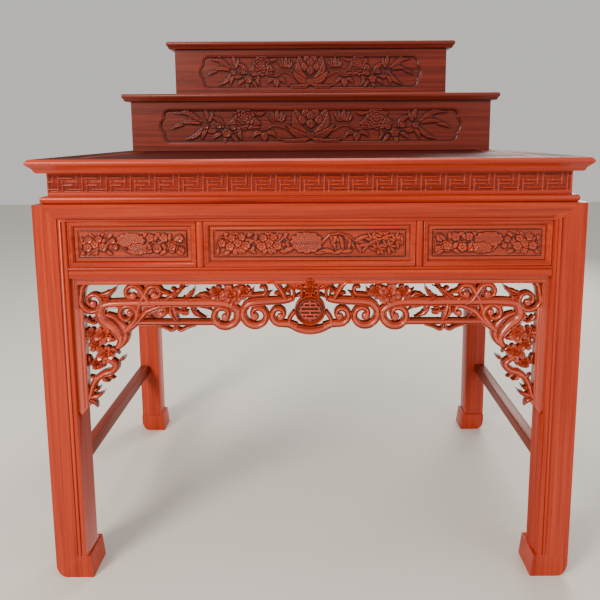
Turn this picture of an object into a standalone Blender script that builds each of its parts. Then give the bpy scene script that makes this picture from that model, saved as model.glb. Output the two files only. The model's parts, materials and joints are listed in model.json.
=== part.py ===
# Altar table with a two-step riser, in varnished wood.
# Metres, +Z up, front towards -Y, origin on the floor under the middle of the table.

import math

import bmesh
import bpy
from mathutils import Matrix, Vector

# Table, over the legs and the top
TABLE_WIDTH = 1.55
TABLE_DEPTH = 0.96
FRAME_HEIGHT = 1.143
TOP_OVERHANG = 0.010
JOINT_GAP = 0.0003

# Legs and feet
LEG_WIDTH = 0.092
LEG_DEPTH = 0.092
BACK_LEG_WIDTH = 0.082
BACK_LEG_DEPTH = 0.078
LEG_PLAIN = 0.066
LEG_BEAD = 0.0115
QUIRK = 0.003
FOOT_HEIGHT = 0.070
FOOT_STEP = 0.012
FOOT_FLARE = 0.020
FOOT_DEPTH_STEP = 0.008
FOOT_ROUND_WIDTH = 0.032
FOOT_ROUND_HEIGHT = 0.042
FOOT_ROUND_STEPS = 5

# Rails and the panel field between them
RAIL_DEPTH = 0.045
TOP_RAIL_HEIGHT = 0.049
TOP_RAIL_PLAIN = 0.041
FIELD_HEIGHT = 0.131
LOWER_RAIL_HEIGHT = 0.030
LOWER_RAIL_BEAD = 0.007
DIVIDER_WIDTH = 0.022
DIVIDER_OFFSET = 0.3095
DIVIDER_STEPS = 6
PANEL_FRAME_WIDTH = 0.016
PANEL_FRAME_DEPTH = 0.026
PANEL_FRAME_SETBACK = 0.004
PANEL_FRAME_FALL = 0.009
PANEL_THICKNESS = 0.014
PANEL_MARGIN = 0.0125
PLAQUE_RISE = 0.003
PANEL_CARVING_RISE = 0.004
SIDE_PANEL_THICKNESS = 0.012
SIDE_PANEL_SETBACK = 0.014

# Waist, its key fret and the bead under it
WAIST_HEIGHT = 0.066
WAIST_INSET = 0.0325
WAIST_THICKNESS = 0.018
WAIST_BEAD_HEIGHT = 0.021
WAIST_BEAD_INSET = 0.015
WAIST_BEAD_DEPTH = 0.045
FRET_HEIGHT = 0.048
FRET_PITCH = 0.067
FRET_BAR = 0.0045
FRET_RELIEF = 0.003
FRET_SINK = 0.0004
FRET_FOOT_MARGIN = 0.012
BITE = 0.001

# Top frame and the panel in it
TOP_THICKNESS = 0.039
TOP_NOSE_HEIGHT = 0.021
TOP_COVE_INSET = 0.020
TOP_MEMBER_WIDTH = 0.112
TOP_PANEL_THICKNESS = 0.016
TOP_PANEL_DROP = 0.0015

# Side stretchers
STRETCHER_WIDTH = 0.040
STRETCHER_HEIGHT = 0.041
STRETCHER_LEVEL = 0.265
STRETCHER_ROUND = 0.005

# Openwork apron and its corner brackets
APRON_DEPTH = 0.026
APRON_SETBACK = 0.009
APRON_DROP = 0.415
APRON_JOINT_DROP = 0.168
APRON_JOINT_REACH = 0.178
APRON_STAGGER = 0.0005
RIDGE_WIDTH = 0.0145
APRON_FACE_SHARE = 0.72
FLAT_ANGLE = math.radians(0.4)

# The apron's carving is drawn in millimetres on a half this wide and this deep,
# and is stretched to the apron's own width and drop.
DRAWN_HALF_WIDTH = 683.0
DRAWN_DROP = 415.0

# Medallion in the middle of the apron
MEDALLION_RADIUS = 44.0
MEDALLION_RING = 5.0
MEDALLION_SINK = 0.005
MEDALLION_CENTRE_DROP = 101.0
MEDALLION_BAR = 4.6
MEDALLION_SEGMENTS = 16

# The fret's lying bars as (row, half length), its standing ones as (column, start, end),
# all from the medallion's middle.
MEDALLION_ROWS = ((-25, 18), (0, 30), (25, 18))
MEDALLION_COLUMNS = ((-10, -21, -6), (10, -21, -6), (-10, 6, 21), (10, 6, 21), (-24, -16, -6), (24, 6, 16))

# Strands that end in a spiral wider than this carry a knob in it; the steps are in degrees.
KNOB_FROM = 20.0
SPIRAL_STEP = 52.0
CURL_STEP = 75.0
FULL_LEAF_WIDTH = 17.5
KNOB_SIDES = 5

# Plain aprons on the sides and the back
PLAIN_APRON_HEIGHT = 0.060
PLAIN_APRON_THICKNESS = 0.018
PLAIN_APRON_SETBACK = 0.010
PLAIN_BRACKET_DROP = 0.125
PLAIN_BRACKET_REACH = 0.090
PLAIN_BRACKET_STEPS = 6

# Riser: two steps of boards
RISER_BACK_INSET = 0.010
BOARD = 0.018
STEP_TOP_THICKNESS = 0.029
STEP_NOSE = 0.006
LOWER_STEP_WIDTH = 1.44
LOWER_STEP_DEPTH = 0.215
LOWER_STEP_HEIGHT = 0.198
UPPER_STEP_WIDTH = 1.123
UPPER_STEP_DEPTH = 0.110
UPPER_STEP_HEIGHT = 0.188
STEP_OVERHANG = 0.031
STEP_FRONT_OVERHANG = 0.024
CARTOUCHE_HEIGHT = 0.137
CARTOUCHE_SINK = 0.004
CARTOUCHE_CARVING_RISE = 0.004
LOWER_CARTOUCHE_LENGTH = 1.218
UPPER_CARTOUCHE_LENGTH = 0.926
CARTOUCHE_LOBE_ANGLE = math.radians(62)
STEM_LEAVES = ((0.56, -0.02, 150), (0.58, -0.12, 205), (0.74, 0.30, 150), (0.76, 0.10, 190))

# Heights and faces that follow from the sizes above
LEG_X = TABLE_WIDTH / 2
LEG_Y = TABLE_DEPTH / 2
LEG_INNER_X = LEG_X - LEG_WIDTH
BACK_LEG_INNER_X = LEG_X - BACK_LEG_WIDTH
TOP_RAIL_BOTTOM = FRAME_HEIGHT - TOP_RAIL_HEIGHT
LOWER_RAIL_TOP = TOP_RAIL_BOTTOM - FIELD_HEIGHT
APRON_TOP = LOWER_RAIL_TOP - LOWER_RAIL_HEIGHT
WAIST_BEAD_TOP = FRAME_HEIGHT + WAIST_BEAD_HEIGHT
WAIST_TOP = WAIST_BEAD_TOP + WAIST_HEIGHT
TABLE_TOP = WAIST_TOP + TOP_THICKNESS
SLAB_X = LEG_X + TOP_OVERHANG
SLAB_Y = LEG_Y + TOP_OVERHANG
RISER_BACK = SLAB_Y - RISER_BACK_INSET
LOWER_STEP_TOP = TABLE_TOP + LOWER_STEP_HEIGHT + STEP_TOP_THICKNESS

# Varnished wood, red-brown, darker on the riser and the top
FRAME_COLOUR = (0.46, 0.075, 0.03)
CARVING_COLOUR = (0.52, 0.11, 0.05)
PANEL_COLOUR = (0.44, 0.08, 0.035)
TOP_COLOUR = (0.17, 0.022, 0.014)
RISER_COLOUR = (0.22, 0.035, 0.022)


def clear_scene():
    for item in list(bpy.data.objects):
        bpy.data.objects.remove(item, do_unlink=True)


def new_collection(name, hidden=False):
    group = bpy.data.collections.new(name)
    bpy.context.scene.collection.children.link(group)
    group.hide_render = hidden
    return group


def wood(name, colour, roughness):
    material = bpy.data.materials.new(name)
    material.use_nodes = True
    shader = material.node_tree.nodes["Principled BSDF"]
    shader.inputs["Base Color"].default_value = (*colour, 1.0)
    shader.inputs["Roughness"].default_value = roughness
    shader.inputs["Metallic"].default_value = 0.0
    return material


def mesh_object(name, bm, group):
    bmesh.ops.recalc_face_normals(bm, faces=bm.faces)
    mesh = bpy.data.meshes.new(name)
    bm.to_mesh(mesh)
    bm.free()
    item = bpy.data.objects.new(name, mesh)
    group.objects.link(item)
    return item


def evaluated_mesh(item):
    graph = bpy.context.evaluated_depsgraph_get()
    return bpy.data.meshes.new_from_object(item.evaluated_get(graph))


def box(name, group, low, high):
    bm = bmesh.new()
    bmesh.ops.create_cube(bm, size=1.0)
    size = Vector(high) - Vector(low)
    middle = (Vector(high) + Vector(low)) / 2
    placed = Matrix.Translation(middle) @ Matrix.Diagonal((*size, 1.0))
    bmesh.ops.transform(bm, matrix=placed, verts=bm.verts)
    return mesh_object(name, bm, group)


def prism(name, group, outline, y_front, y_back, crown=1.0):
    # An outline in X and Z, carried from back to front; a crown under 1 draws the front face in.
    bm = bmesh.new()
    face = bm.faces.new([bm.verts.new((x, y_back, z)) for x, z in outline])
    made = bmesh.ops.extrude_face_region(bm, geom=[face])
    front = [item for item in made["geom"] if isinstance(item, bmesh.types.BMVert)]
    middle = sum((vertex.co for vertex in front), Vector()) / len(front)
    for vertex in front:
        vertex.co.x = middle.x + (vertex.co.x - middle.x) * crown
        vertex.co.z = middle.z + (vertex.co.z - middle.z) * crown
        vertex.co.y = y_front
    return mesh_object(name, bm, group)


def mitred_bar(name, group, section, half_length, turn):
    # A moulding that runs along X and faces -Y, with ends cut at 45 degrees. The section
    # holds (out, z) pairs, out being the distance from the middle of the object.
    bm = bmesh.new()
    ends = []
    for side in (-1, 1):
        ring = []
        for out, z in section:
            ring.append(bm.verts.new((side * (out + half_length), -out, z)))
        ends.append(ring)
        bm.faces.new(ring)
    for index in range(len(section)):
        after = (index + 1) % len(section)
        bm.faces.new((ends[0][index], ends[0][after], ends[1][after], ends[1][index]))
    bmesh.ops.transform(bm, matrix=Matrix.Rotation(turn, 4, "Z"), verts=bm.verts)
    return mesh_object(name, bm, group)


def mitred_ring(names, group, section, half_x, half_y):
    # Four mouldings round a rectangle: front, back, left, right. The section's out is
    # measured from the rectangle's side, so it is negative inside.
    gap = JOINT_GAP / 2 * math.sqrt(2)
    turns = {"front": 0.0, "back": math.pi, "left": -math.pi / 2, "right": math.pi / 2}
    made = []
    for name in names:
        where = name.rsplit("_", 1)[1]
        turn = turns[where]
        across, along = (half_y, half_x) if where in ("front", "back") else (half_x, half_y)
        placed = [(across + out, z) for out, z in section]
        made.append(mitred_bar(name, group, placed, along - across - gap, turn))
    return made


def slab(name, group, half_x, y_front, y_back, levels):
    # A board with a moulded edge on its front and ends: levels are (inset, z), bottom to top.
    bm = bmesh.new()
    rings = []
    for inset, z in levels:
        x = half_x - inset
        corners = ((-x, y_front + inset), (x, y_front + inset), (x, y_back), (-x, y_back))
        rings.append([bm.verts.new((corner_x, corner_y, z)) for corner_x, corner_y in corners])
    for lower, upper in zip(rings, rings[1:]):
        for index in range(4):
            after = (index + 1) % 4
            bm.faces.new((lower[index], lower[after], upper[after], upper[index]))
    bm.faces.new(rings[0][::-1])
    bm.faces.new(rings[-1])
    return mesh_object(name, bm, group)


def picture_frame(name, group, low, high, section):
    # A moulding carried round a rectangle in X and Z; the section holds (inset, y) pairs.
    bm = bmesh.new()
    rings = []
    for inset, y in section:
        corners = (
            (low[0] + inset, low[1] + inset),
            (high[0] - inset, low[1] + inset),
            (high[0] - inset, high[1] - inset),
            (low[0] + inset, high[1] - inset),
        )
        rings.append([bm.verts.new((x, y, z)) for x, z in corners])
    for index, ring in enumerate(rings):
        following = rings[(index + 1) % len(rings)]
        for corner in range(4):
            after = (corner + 1) % 4
            bm.faces.new((ring[corner], ring[after], following[after], following[corner]))
    return mesh_object(name, bm, group)


def apply_boolean(item, operation, others, workshop):
    # Joins or cuts the item with all the others at once, and removes them.
    tools = bpy.data.collections.new("tools")
    workshop.children.link(tools)
    for other in others:
        tools.objects.link(other)
    modifier = item.modifiers.new("shape", "BOOLEAN")
    modifier.operation = operation
    modifier.operand_type = "COLLECTION"
    modifier.collection = tools
    modifier.solver = "EXACT"
    mesh = evaluated_mesh(item)
    item.modifiers.remove(modifier)
    merge_flat_faces(mesh)
    item.data = mesh
    for other in others:
        bpy.data.objects.remove(other, do_unlink=True)
    bpy.data.collections.remove(tools)
    return item


def merge_flat_faces(mesh):
    # Neighbouring faces in one plane become one face again.
    bm = bmesh.new()
    bm.from_mesh(mesh)
    bmesh.ops.dissolve_limit(bm, angle_limit=FLAT_ANGLE, verts=bm.verts, edges=bm.edges)
    bm.to_mesh(mesh)
    bm.free()


def thin_out(item, share):
    # Joining many strands leaves slivers; the least of them go into their neighbours.
    modifier = item.modifiers.new("thin", "DECIMATE")
    modifier.ratio = share
    mesh = evaluated_mesh(item)
    item.modifiers.remove(modifier)
    item.data = mesh


def curve_value(a, b, c, d, t):
    # Between b and c, on a curve that also runs by a and d.
    square = 2 * a - 5 * b + 4 * c - d
    cube = 3 * b - a - 3 * c + d
    return b + ((c - a) * t + square * t**2 + cube * t**3) / 2


def smoothed(points, steps):
    # A Catmull-Rom curve through the points; each holds (x, z, width).
    if len(points) < 3:
        return list(points)
    path = []
    padded = [points[0], *points, points[-1]]
    for first, start, end, last in zip(padded, padded[1:], padded[2:], padded[3:]):
        for step in range(steps):
            between = [curve_value(*values, step / steps) for values in zip(first, start, end, last)]
            path.append(tuple(between))
    path.append(points[-1])
    return path


def spiral(centre, radii, degrees, widths):
    # Points round the centre while the radius and the width change evenly.
    step = SPIRAL_STEP if radii[0] > KNOB_FROM else CURL_STEP
    count = max(3, round(abs(degrees[1] - degrees[0]) / step))
    path = []
    for index in range(count + 1):
        share = index / count
        angle = math.radians(degrees[0] + (degrees[1] - degrees[0]) * share)
        radius = radii[0] + (radii[1] - radii[0]) * share
        width = widths[0] + (widths[1] - widths[0]) * share
        path.append((centre[0] + radius * math.cos(angle), centre[1] + radius * math.sin(angle), width))
    return path


def ribbon(name, group, path, y_back, depth):
    # A carved strand swept along (x, z, width) points: broad ones have a flat front,
    # thin ones a ridge. The strand gets shallower as it gets narrower.
    widest = max(width for _, _, width in path)
    section = bpy.data.curves.new(name + "_section", "CURVE")
    section.dimensions = "2D"
    if widest > RIDGE_WIDTH:
        shape = ((-0.5, 0.0), (0.5, 0.0), (0.30, depth / widest), (-0.30, depth / widest))
    else:
        shape = ((-0.5, 0.0), (0.5, 0.0), (0.0, depth / widest))
    spline = section.splines.new("POLY")
    spline.points.add(len(shape) - 1)
    spline.use_cyclic_u = True
    for point, (across, out) in zip(spline.points, shape):
        point.co = (across, out, 0.0, 1.0)
    profile = bpy.data.objects.new(name + "_section", section)
    group.objects.link(profile)

    curve = bpy.data.curves.new(name, "CURVE")
    curve.dimensions = "2D"
    curve.fill_mode = "NONE"
    curve.bevel_mode = "OBJECT"
    curve.bevel_object = profile
    curve.use_fill_caps = True
    spline = curve.splines.new("POLY")
    spline.points.add(len(path) - 1)
    for point, (x, z, width) in zip(spline.points, path):
        point.co = (x, z, 0.0, 1.0)
        point.radius = width
    strand = bpy.data.objects.new(name, curve)
    strand.matrix_world = Matrix.Translation((0.0, y_back, 0.0)) @ Matrix.Rotation(math.pi / 2, 4, "X")
    group.objects.link(strand)

    bpy.context.view_layer.update()
    mesh = evaluated_mesh(strand)
    bm = bmesh.new()
    bm.from_mesh(mesh)
    bmesh.ops.remove_doubles(bm, verts=bm.verts, dist=0.00001)
    bmesh.ops.transform(bm, matrix=strand.matrix_world, verts=bm.verts)
    bpy.data.objects.remove(strand, do_unlink=True)
    bpy.data.objects.remove(profile, do_unlink=True)
    return mesh_object(name, bm, group)


def leaf(name, group, base, tip, width, y_back, depth, full=False):
    # A pointed leaf with a raised middle. A full leaf is broad nearly to its tip.
    start = Vector(base)
    run = Vector(tip) - start
    across = Vector((-run.y, run.x)).normalized() * width / 2
    if full:
        edge = [start, start + run * 0.35 + across, start + run * 0.75 + across * 0.7, start + run]
        edge += [start + run * 0.75 - across * 0.7, start + run * 0.35 - across]
    else:
        edge = [start, start + run * 0.45 + across, start + run, start + run * 0.45 - across]
    bm = bmesh.new()
    face = bm.faces.new([bm.verts.new((point.x, y_back, point.y)) for point in edge])
    made = bmesh.ops.extrude_face_region(bm, geom=[face])
    rim = [item for item in made["geom"] if isinstance(item, bmesh.types.BMVert)]
    for vertex in rim:
        vertex.co.y = y_back - depth * 0.5
    top = [item for item in made["geom"] if isinstance(item, bmesh.types.BMFace)][0]
    ridge = bm.verts.new((start.x + run.x * 0.45, y_back - depth, start.y + run.y * 0.45))
    corners = list(top.verts)
    bm.faces.remove(top)
    for index, corner in enumerate(corners):
        bm.faces.new((corner, corners[(index + 1) % len(corners)], ridge))
    return mesh_object(name, bm, group)


def flower(name, group, centre, radius, petals, y_back, depth):
    # A round flower with a lobed edge and a domed face.
    outline = []
    for index in range(petals * 2):
        angle = math.pi * index / petals
        reach = radius * (1.0 if index % 2 else 0.78)
        outline.append((centre[0] + reach * math.cos(angle), centre[1] + reach * math.sin(angle)))
    return prism(name, group, outline, y_back - depth, y_back, crown=0.62)


def knob(name, group, centre, radius, y_back, depth):
    outline = []
    for index in range(KNOB_SIDES):
        angle = math.tau * index / KNOB_SIDES
        outline.append((centre[0] + radius * math.cos(angle), centre[1] + radius * math.sin(angle)))
    return prism(name, group, outline, y_back - depth, y_back, crown=0.7)


def leg_outline(width):
    # Half of what the front shows of a leg, from its outer face inwards: out is 0 at the outer face.
    outline = [(0.0, FRAME_HEIGHT)]
    for index in range(FOOT_ROUND_STEPS + 1):
        angle = math.pi / 2 * index / FOOT_ROUND_STEPS
        inward = FOOT_ROUND_WIDTH * (1 - math.cos(angle))
        outline.append((inward, FOOT_ROUND_HEIGHT * (1 - math.sin(angle))))
    outline.append((width + FOOT_FLARE, 0.0))
    outline.append((width + FOOT_STEP, FOOT_HEIGHT))
    outline.append((width, FOOT_HEIGHT))
    outline.append((width, FRAME_HEIGHT))
    return outline


def mitre_outline(clearance):
    # The end of the front top rail, from the leg's outer face inwards.
    flat = LEG_PLAIN - TOP_RAIL_PLAIN
    return [
        (flat + clearance, FRAME_HEIGHT),
        (LEG_PLAIN + clearance, FRAME_HEIGHT - TOP_RAIL_PLAIN),
        (LEG_WIDTH + clearance, TOP_RAIL_BOTTOM),
    ]


def build_leg(name, group, workshop, side, front):
    width = LEG_WIDTH if front else BACK_LEG_WIDTH
    depth = LEG_DEPTH if front else BACK_LEG_DEPTH
    outer_y = -LEG_Y if front else LEG_Y
    inner_y = outer_y + depth if front else outer_y - depth
    foot_y = inner_y + FOOT_DEPTH_STEP if front else inner_y - FOOT_DEPTH_STEP
    outline = [(side * (LEG_X - inward), z) for inward, z in leg_outline(width)]
    leg = prism(name, group, outline, min(outer_y, inner_y), max(outer_y, inner_y))
    foot_outline = outline[1:-2]
    foot_outline.append((outline[0][0], FOOT_HEIGHT))
    if front:
        foot = prism("foot", workshop, foot_outline, inner_y - BITE, foot_y)
    else:
        foot = prism("foot", workshop, foot_outline, foot_y, inner_y + BITE)
    apply_boolean(leg, "UNION", [foot], workshop)
    if front:
        cutters = [leg_mitre_cutter(workshop, side)]
        cutters += leg_quirk_cutters(workshop, side)
        apply_boolean(leg, "DIFFERENCE", cutters, workshop)
    return leg


def leg_mitre_cutter(workshop, side):
    beyond = 0.02
    line = mitre_outline(0.0)
    outline = [(line[0][0] - beyond, FRAME_HEIGHT + beyond), *line]
    outline.append((LEG_WIDTH + beyond, TOP_RAIL_BOTTOM))
    outline.append((LEG_WIDTH + beyond, FRAME_HEIGHT + beyond))
    placed = [(side * (LEG_X - inward), z) for inward, z in outline]
    return prism("mitre", workshop, placed, -LEG_Y - beyond, -LEG_Y + RAIL_DEPTH)


def leg_quirk_cutters(workshop, side):
    # Two narrow grooves set the beads off along the inner edge of the front face.
    made = []
    for inward in (LEG_PLAIN, LEG_PLAIN + LEG_BEAD):
        edges = sorted((side * (LEG_X - inward), side * (LEG_X - inward - QUIRK)))
        low = (edges[0], -LEG_Y - QUIRK, FOOT_HEIGHT)
        high = (edges[1], -LEG_Y + QUIRK, FRAME_HEIGHT - TOP_RAIL_PLAIN - (inward - LEG_PLAIN) / 2)
        made.append(box("quirk", workshop, low, high))
    return made


def build_front_top_rail(group, workshop):
    line = mitre_outline(JOINT_GAP)
    right = [(LEG_X - inward, z) for inward, z in line]
    left = [(-x, z) for x, z in reversed(right)]
    rail = prism("front_top_rail", group, right + left, -LEG_Y, -LEG_Y + RAIL_DEPTH - JOINT_GAP)
    low = (-LEG_INNER_X + JOINT_GAP, -LEG_Y - QUIRK, FRAME_HEIGHT - TOP_RAIL_PLAIN - QUIRK / 2)
    high = (LEG_INNER_X - JOINT_GAP, -LEG_Y + QUIRK, FRAME_HEIGHT - TOP_RAIL_PLAIN + QUIRK / 2)
    return apply_boolean(rail, "DIFFERENCE", [box("quirk", workshop, low, high)], workshop)


def rail_box(name, group, low_z, high_z, where):
    # A square rail on the front, back, left or right, between the legs.
    gap = JOINT_GAP
    if where == "front":
        low = (-LEG_INNER_X + gap, -LEG_Y, low_z)
        high = (LEG_INNER_X - gap, -LEG_Y + RAIL_DEPTH, high_z)
    elif where == "back":
        low = (-BACK_LEG_INNER_X + gap, LEG_Y - RAIL_DEPTH, low_z)
        high = (BACK_LEG_INNER_X - gap, LEG_Y, high_z)
    else:
        sign = -1 if where == "left" else 1
        edges = sorted((sign * LEG_X, sign * (LEG_X - RAIL_DEPTH)))
        low = (edges[0], -LEG_Y + LEG_DEPTH + gap, low_z)
        high = (edges[1], LEG_Y - BACK_LEG_DEPTH - gap, high_z)
    return box(name, group, low, high)


def build_rails(group, workshop):
    made = [build_front_top_rail(group, workshop)]
    names = {"back": "back_{}_rail", "left": "side_{}_rail_left", "right": "side_{}_rail_right"}
    for where, name in names.items():
        made.append(rail_box(name.format("top"), group, TOP_RAIL_BOTTOM, FRAME_HEIGHT, where))
        low_z = APRON_TOP + JOINT_GAP
        made.append(rail_box(name.format("lower"), group, low_z, LOWER_RAIL_TOP - JOINT_GAP, where))
    lower = rail_box("front_lower_rail", group, APRON_TOP + JOINT_GAP, LOWER_RAIL_TOP - JOINT_GAP, "front")
    bead_line = LOWER_RAIL_TOP - LOWER_RAIL_BEAD
    low = (-LEG_INNER_X - QUIRK, -LEG_Y - QUIRK, bead_line - QUIRK)
    high = (LEG_INNER_X + QUIRK, -LEG_Y + QUIRK, bead_line)
    made.append(apply_boolean(lower, "DIFFERENCE", [box("quirk", workshop, low, high)], workshop))
    return made


def build_dividers(group):
    # Half-round uprights between the panels of the front field.
    made = []
    radius = DIVIDER_WIDTH / 2
    for side, name in ((-1, "panel_divider_left"), (1, "panel_divider_right")):
        bm = bmesh.new()
        section = [(-radius, -LEG_Y + RAIL_DEPTH)]
        for index in range(DIVIDER_STEPS + 1):
            angle = math.pi * index / DIVIDER_STEPS
            section.append((-radius * math.cos(angle), -LEG_Y + radius - radius * math.sin(angle)))
        section.append((radius, -LEG_Y + RAIL_DEPTH))
        low = LOWER_RAIL_TOP
        ring = [bm.verts.new((side * DIVIDER_OFFSET + x, y, low)) for x, y in section]
        face = bm.faces.new(ring)
        top = bmesh.ops.extrude_face_region(bm, geom=[face])
        rise = [item for item in top["geom"] if isinstance(item, bmesh.types.BMVert)]
        bmesh.ops.translate(bm, vec=(0.0, 0.0, FIELD_HEIGHT - JOINT_GAP), verts=rise)
        made.append(mesh_object(name, bm, group))
    return made


def panel_spans():
    # Left and right limits of the three panel frames.
    inner = DIVIDER_OFFSET - DIVIDER_WIDTH / 2 - JOINT_GAP
    outer = DIVIDER_OFFSET + DIVIDER_WIDTH / 2 + JOINT_GAP
    edge = LEG_INNER_X - JOINT_GAP
    return {"left": (-edge, -outer), "centre": (-inner, inner), "right": (outer, edge)}


def spray(group, x, z, size, turn, y_back, depth):
    # Two leaves that cross near their roots.
    made = []
    for index, (spread, reach) in enumerate(((-26, 1.0), (26, 0.85))):
        angle = math.radians(turn + spread)
        root = (x - size * 0.1 * math.cos(angle), z - size * 0.1 * math.sin(angle))
        tip = (x + size * reach * math.cos(angle), z + size * reach * math.sin(angle))
        height = depth * (1 - 0.01 * index)
        made.append(leaf(f"spray{index}", group, root, tip, size * 0.36, y_back, height))
    return made


def panel_carving(group, span, middle_z, half_height, y_ground, flowers, sprays):
    # Flowers and leaf sprays along a branch. Places are shares of the plaque's half sizes.
    y_back = y_ground + BITE
    depth = PANEL_CARVING_RISE + BITE
    middle = (span[0] + span[1]) / 2
    half = (span[1] - span[0]) / 2
    made = []
    for index, (across, up, size) in enumerate(flowers):
        centre = (middle + across * half, middle_z + up * half_height)
        height = depth * (0.86 + 0.02 * index)
        made.append(flower("flower", group, centre, size * half_height, 4, y_back, height))
    for index, (across, up, size, turn) in enumerate(sprays):
        root = (middle + across * half, middle_z + up * half_height)
        height = depth * (0.95 + 0.02 * index)
        made += spray(group, *root, size * half_height, turn, y_back, height)
    branch = []
    for index in range(8):
        share = -0.86 + 1.72 * index / 7
        up = 0.28 * math.sin(share * 6.0)
        branch.append((middle + share * half, middle_z + up * half_height, 0.13 * half_height))
    made.append(ribbon("branch", group, branch, y_back, depth * 0.8))
    return made


SIDE_PANEL_FLOWERS = ((-0.72, 0.1, 0.42), (-0.36, -0.3, 0.46), (0.06, 0.35, 0.60), (0.66, -0.05, 0.5))
SIDE_PANEL_SPRAYS = ((-0.55, 0.2, 0.7, 70), (-0.15, -0.1, 0.8, -60), (0.34, 0.0, 0.8, -30))
CENTRE_PANEL_FLOWERS = ((-0.84, 0.25, 0.40), (-0.66, 0.15, 0.58), (-0.36, 0.12, 0.52), (-0.06, 0.05, 0.72))
CENTRE_PANEL_SPRAYS = (
    (-0.66, -0.35, 0.6, -80),
    (-0.50, 0.25, 0.5, 60),
    (0.22, 0.35, 1.0, -35),
    (0.30, -0.55, 0.8, 12),
    (0.66, 0.40, 1.2, -75),
    (0.72, 0.35, 1.0, -10),
)


def build_panels(group, workshop):
    frames = []
    panels = []
    front = -LEG_Y + PANEL_FRAME_SETBACK
    back = front + PANEL_FRAME_DEPTH
    low_z = LOWER_RAIL_TOP
    high_z = TOP_RAIL_BOTTOM - JOINT_GAP
    board_front = front + PANEL_FRAME_FALL + PLAQUE_RISE
    for where, span in panel_spans().items():
        section = (
            (0.0, back),
            (0.0, front + BITE),
            (BITE, front),
            (PANEL_FRAME_WIDTH * 0.3, front),
            (PANEL_FRAME_WIDTH, front + PANEL_FRAME_FALL),
            (PANEL_FRAME_WIDTH, back),
        )
        corners = ((span[0], low_z), (span[1], high_z))
        frames.append(picture_frame("panel_frame_" + where, group, *corners, section))
        inset = PANEL_FRAME_WIDTH + JOINT_GAP
        low = (span[0] + inset, board_front, low_z + inset)
        high = (span[1] - inset, board_front + PANEL_THICKNESS, high_z - inset)
        board = box("carved_panel_" + where, group, low, high)
        margin = PANEL_MARGIN
        plaque_low = (low[0] + margin, board_front - PLAQUE_RISE, low[2] + margin)
        plaque_high = (high[0] - margin, board_front + BITE, high[2] - margin)
        plaque = box("plaque", workshop, plaque_low, plaque_high)
        half_height = (plaque_high[2] - plaque_low[2]) / 2
        middle_z = (plaque_high[2] + plaque_low[2]) / 2
        flowers = CENTRE_PANEL_FLOWERS if where == "centre" else SIDE_PANEL_FLOWERS
        sprays = CENTRE_PANEL_SPRAYS if where == "centre" else SIDE_PANEL_SPRAYS
        limits = (plaque_low[0], plaque_high[0])
        carving = panel_carving(workshop, limits, middle_z, half_height, plaque_low[1], flowers, sprays)
        panels.append(apply_boolean(board, "UNION", [plaque, *carving], workshop))
    return frames, panels


def build_plain_panels(group):
    # Plain boards close the sides and the back between the rails.
    gap = JOINT_GAP
    low_z = LOWER_RAIL_TOP
    high_z = TOP_RAIL_BOTTOM - gap
    thick = SIDE_PANEL_THICKNESS
    made = []
    for side, name in ((-1, "side_panel_left"), (1, "side_panel_right")):
        edges = sorted((side * (LEG_X - SIDE_PANEL_SETBACK), side * (LEG_X - SIDE_PANEL_SETBACK - thick)))
        low = (edges[0], -LEG_Y + LEG_DEPTH + gap, low_z)
        high = (edges[1], LEG_Y - BACK_LEG_DEPTH - gap, high_z)
        made.append(box(name, group, low, high))
    low = (-BACK_LEG_INNER_X + gap, LEG_Y - SIDE_PANEL_SETBACK - thick, low_z)
    high = (BACK_LEG_INNER_X - gap, LEG_Y - SIDE_PANEL_SETBACK, high_z)
    made.append(box("back_panel", group, low, high))
    return made


def waist_section(fret):
    # Between the two raised borders the ground of the key fret lies lower.
    top = WAIST_TOP - JOINT_GAP
    bottom = WAIST_BEAD_TOP
    outer = -WAIST_INSET
    inner = outer - WAIST_THICKNESS
    if not fret:
        return [(inner, bottom), (outer, bottom), (outer, top), (inner, top)]
    fret_low = bottom + FRET_FOOT_MARGIN
    fret_high = fret_low + FRET_HEIGHT
    ground = outer - FRET_RELIEF
    return [
        (inner, bottom),
        (outer, bottom),
        (outer, fret_low),
        (ground, fret_low),
        (ground, fret_high),
        (outer, fret_high),
        (outer, top),
        (inner, top),
    ]


def fret_unit(x, low_z):
    # One repeat of the key fret: a crank, a bar that stands on the lower border
    # and a bar that hangs from the upper one, each with an arm.
    bar_half = FRET_BAR / 2
    pitch = FRET_PITCH
    height = FRET_HEIGHT
    upper = height * 0.82
    lower = height * 0.18
    arm_high = height * 0.60
    arm_low = height * 0.40
    reach = pitch * 0.64
    stand = pitch * 0.20
    hang = pitch * 0.80
    crank = [
        (-reach, lower - bar_half),
        (bar_half, lower - bar_half),
        (bar_half, upper - bar_half),
        (reach, upper - bar_half),
        (reach, upper + bar_half),
        (-bar_half, upper + bar_half),
        (-bar_half, lower + bar_half),
        (-reach, lower + bar_half),
    ]
    standing = [
        (stand - bar_half, -BITE),
        (stand + bar_half, -BITE),
        (stand + bar_half, arm_low - bar_half),
        (reach, arm_low - bar_half),
        (reach, arm_low + bar_half),
        (stand - bar_half, arm_low + bar_half),
    ]
    hanging = [(pitch - across, height - up) for across, up in standing]
    return [[(x + across, low_z + up) for across, up in outline] for outline in (crank, standing, hanging)]


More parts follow.
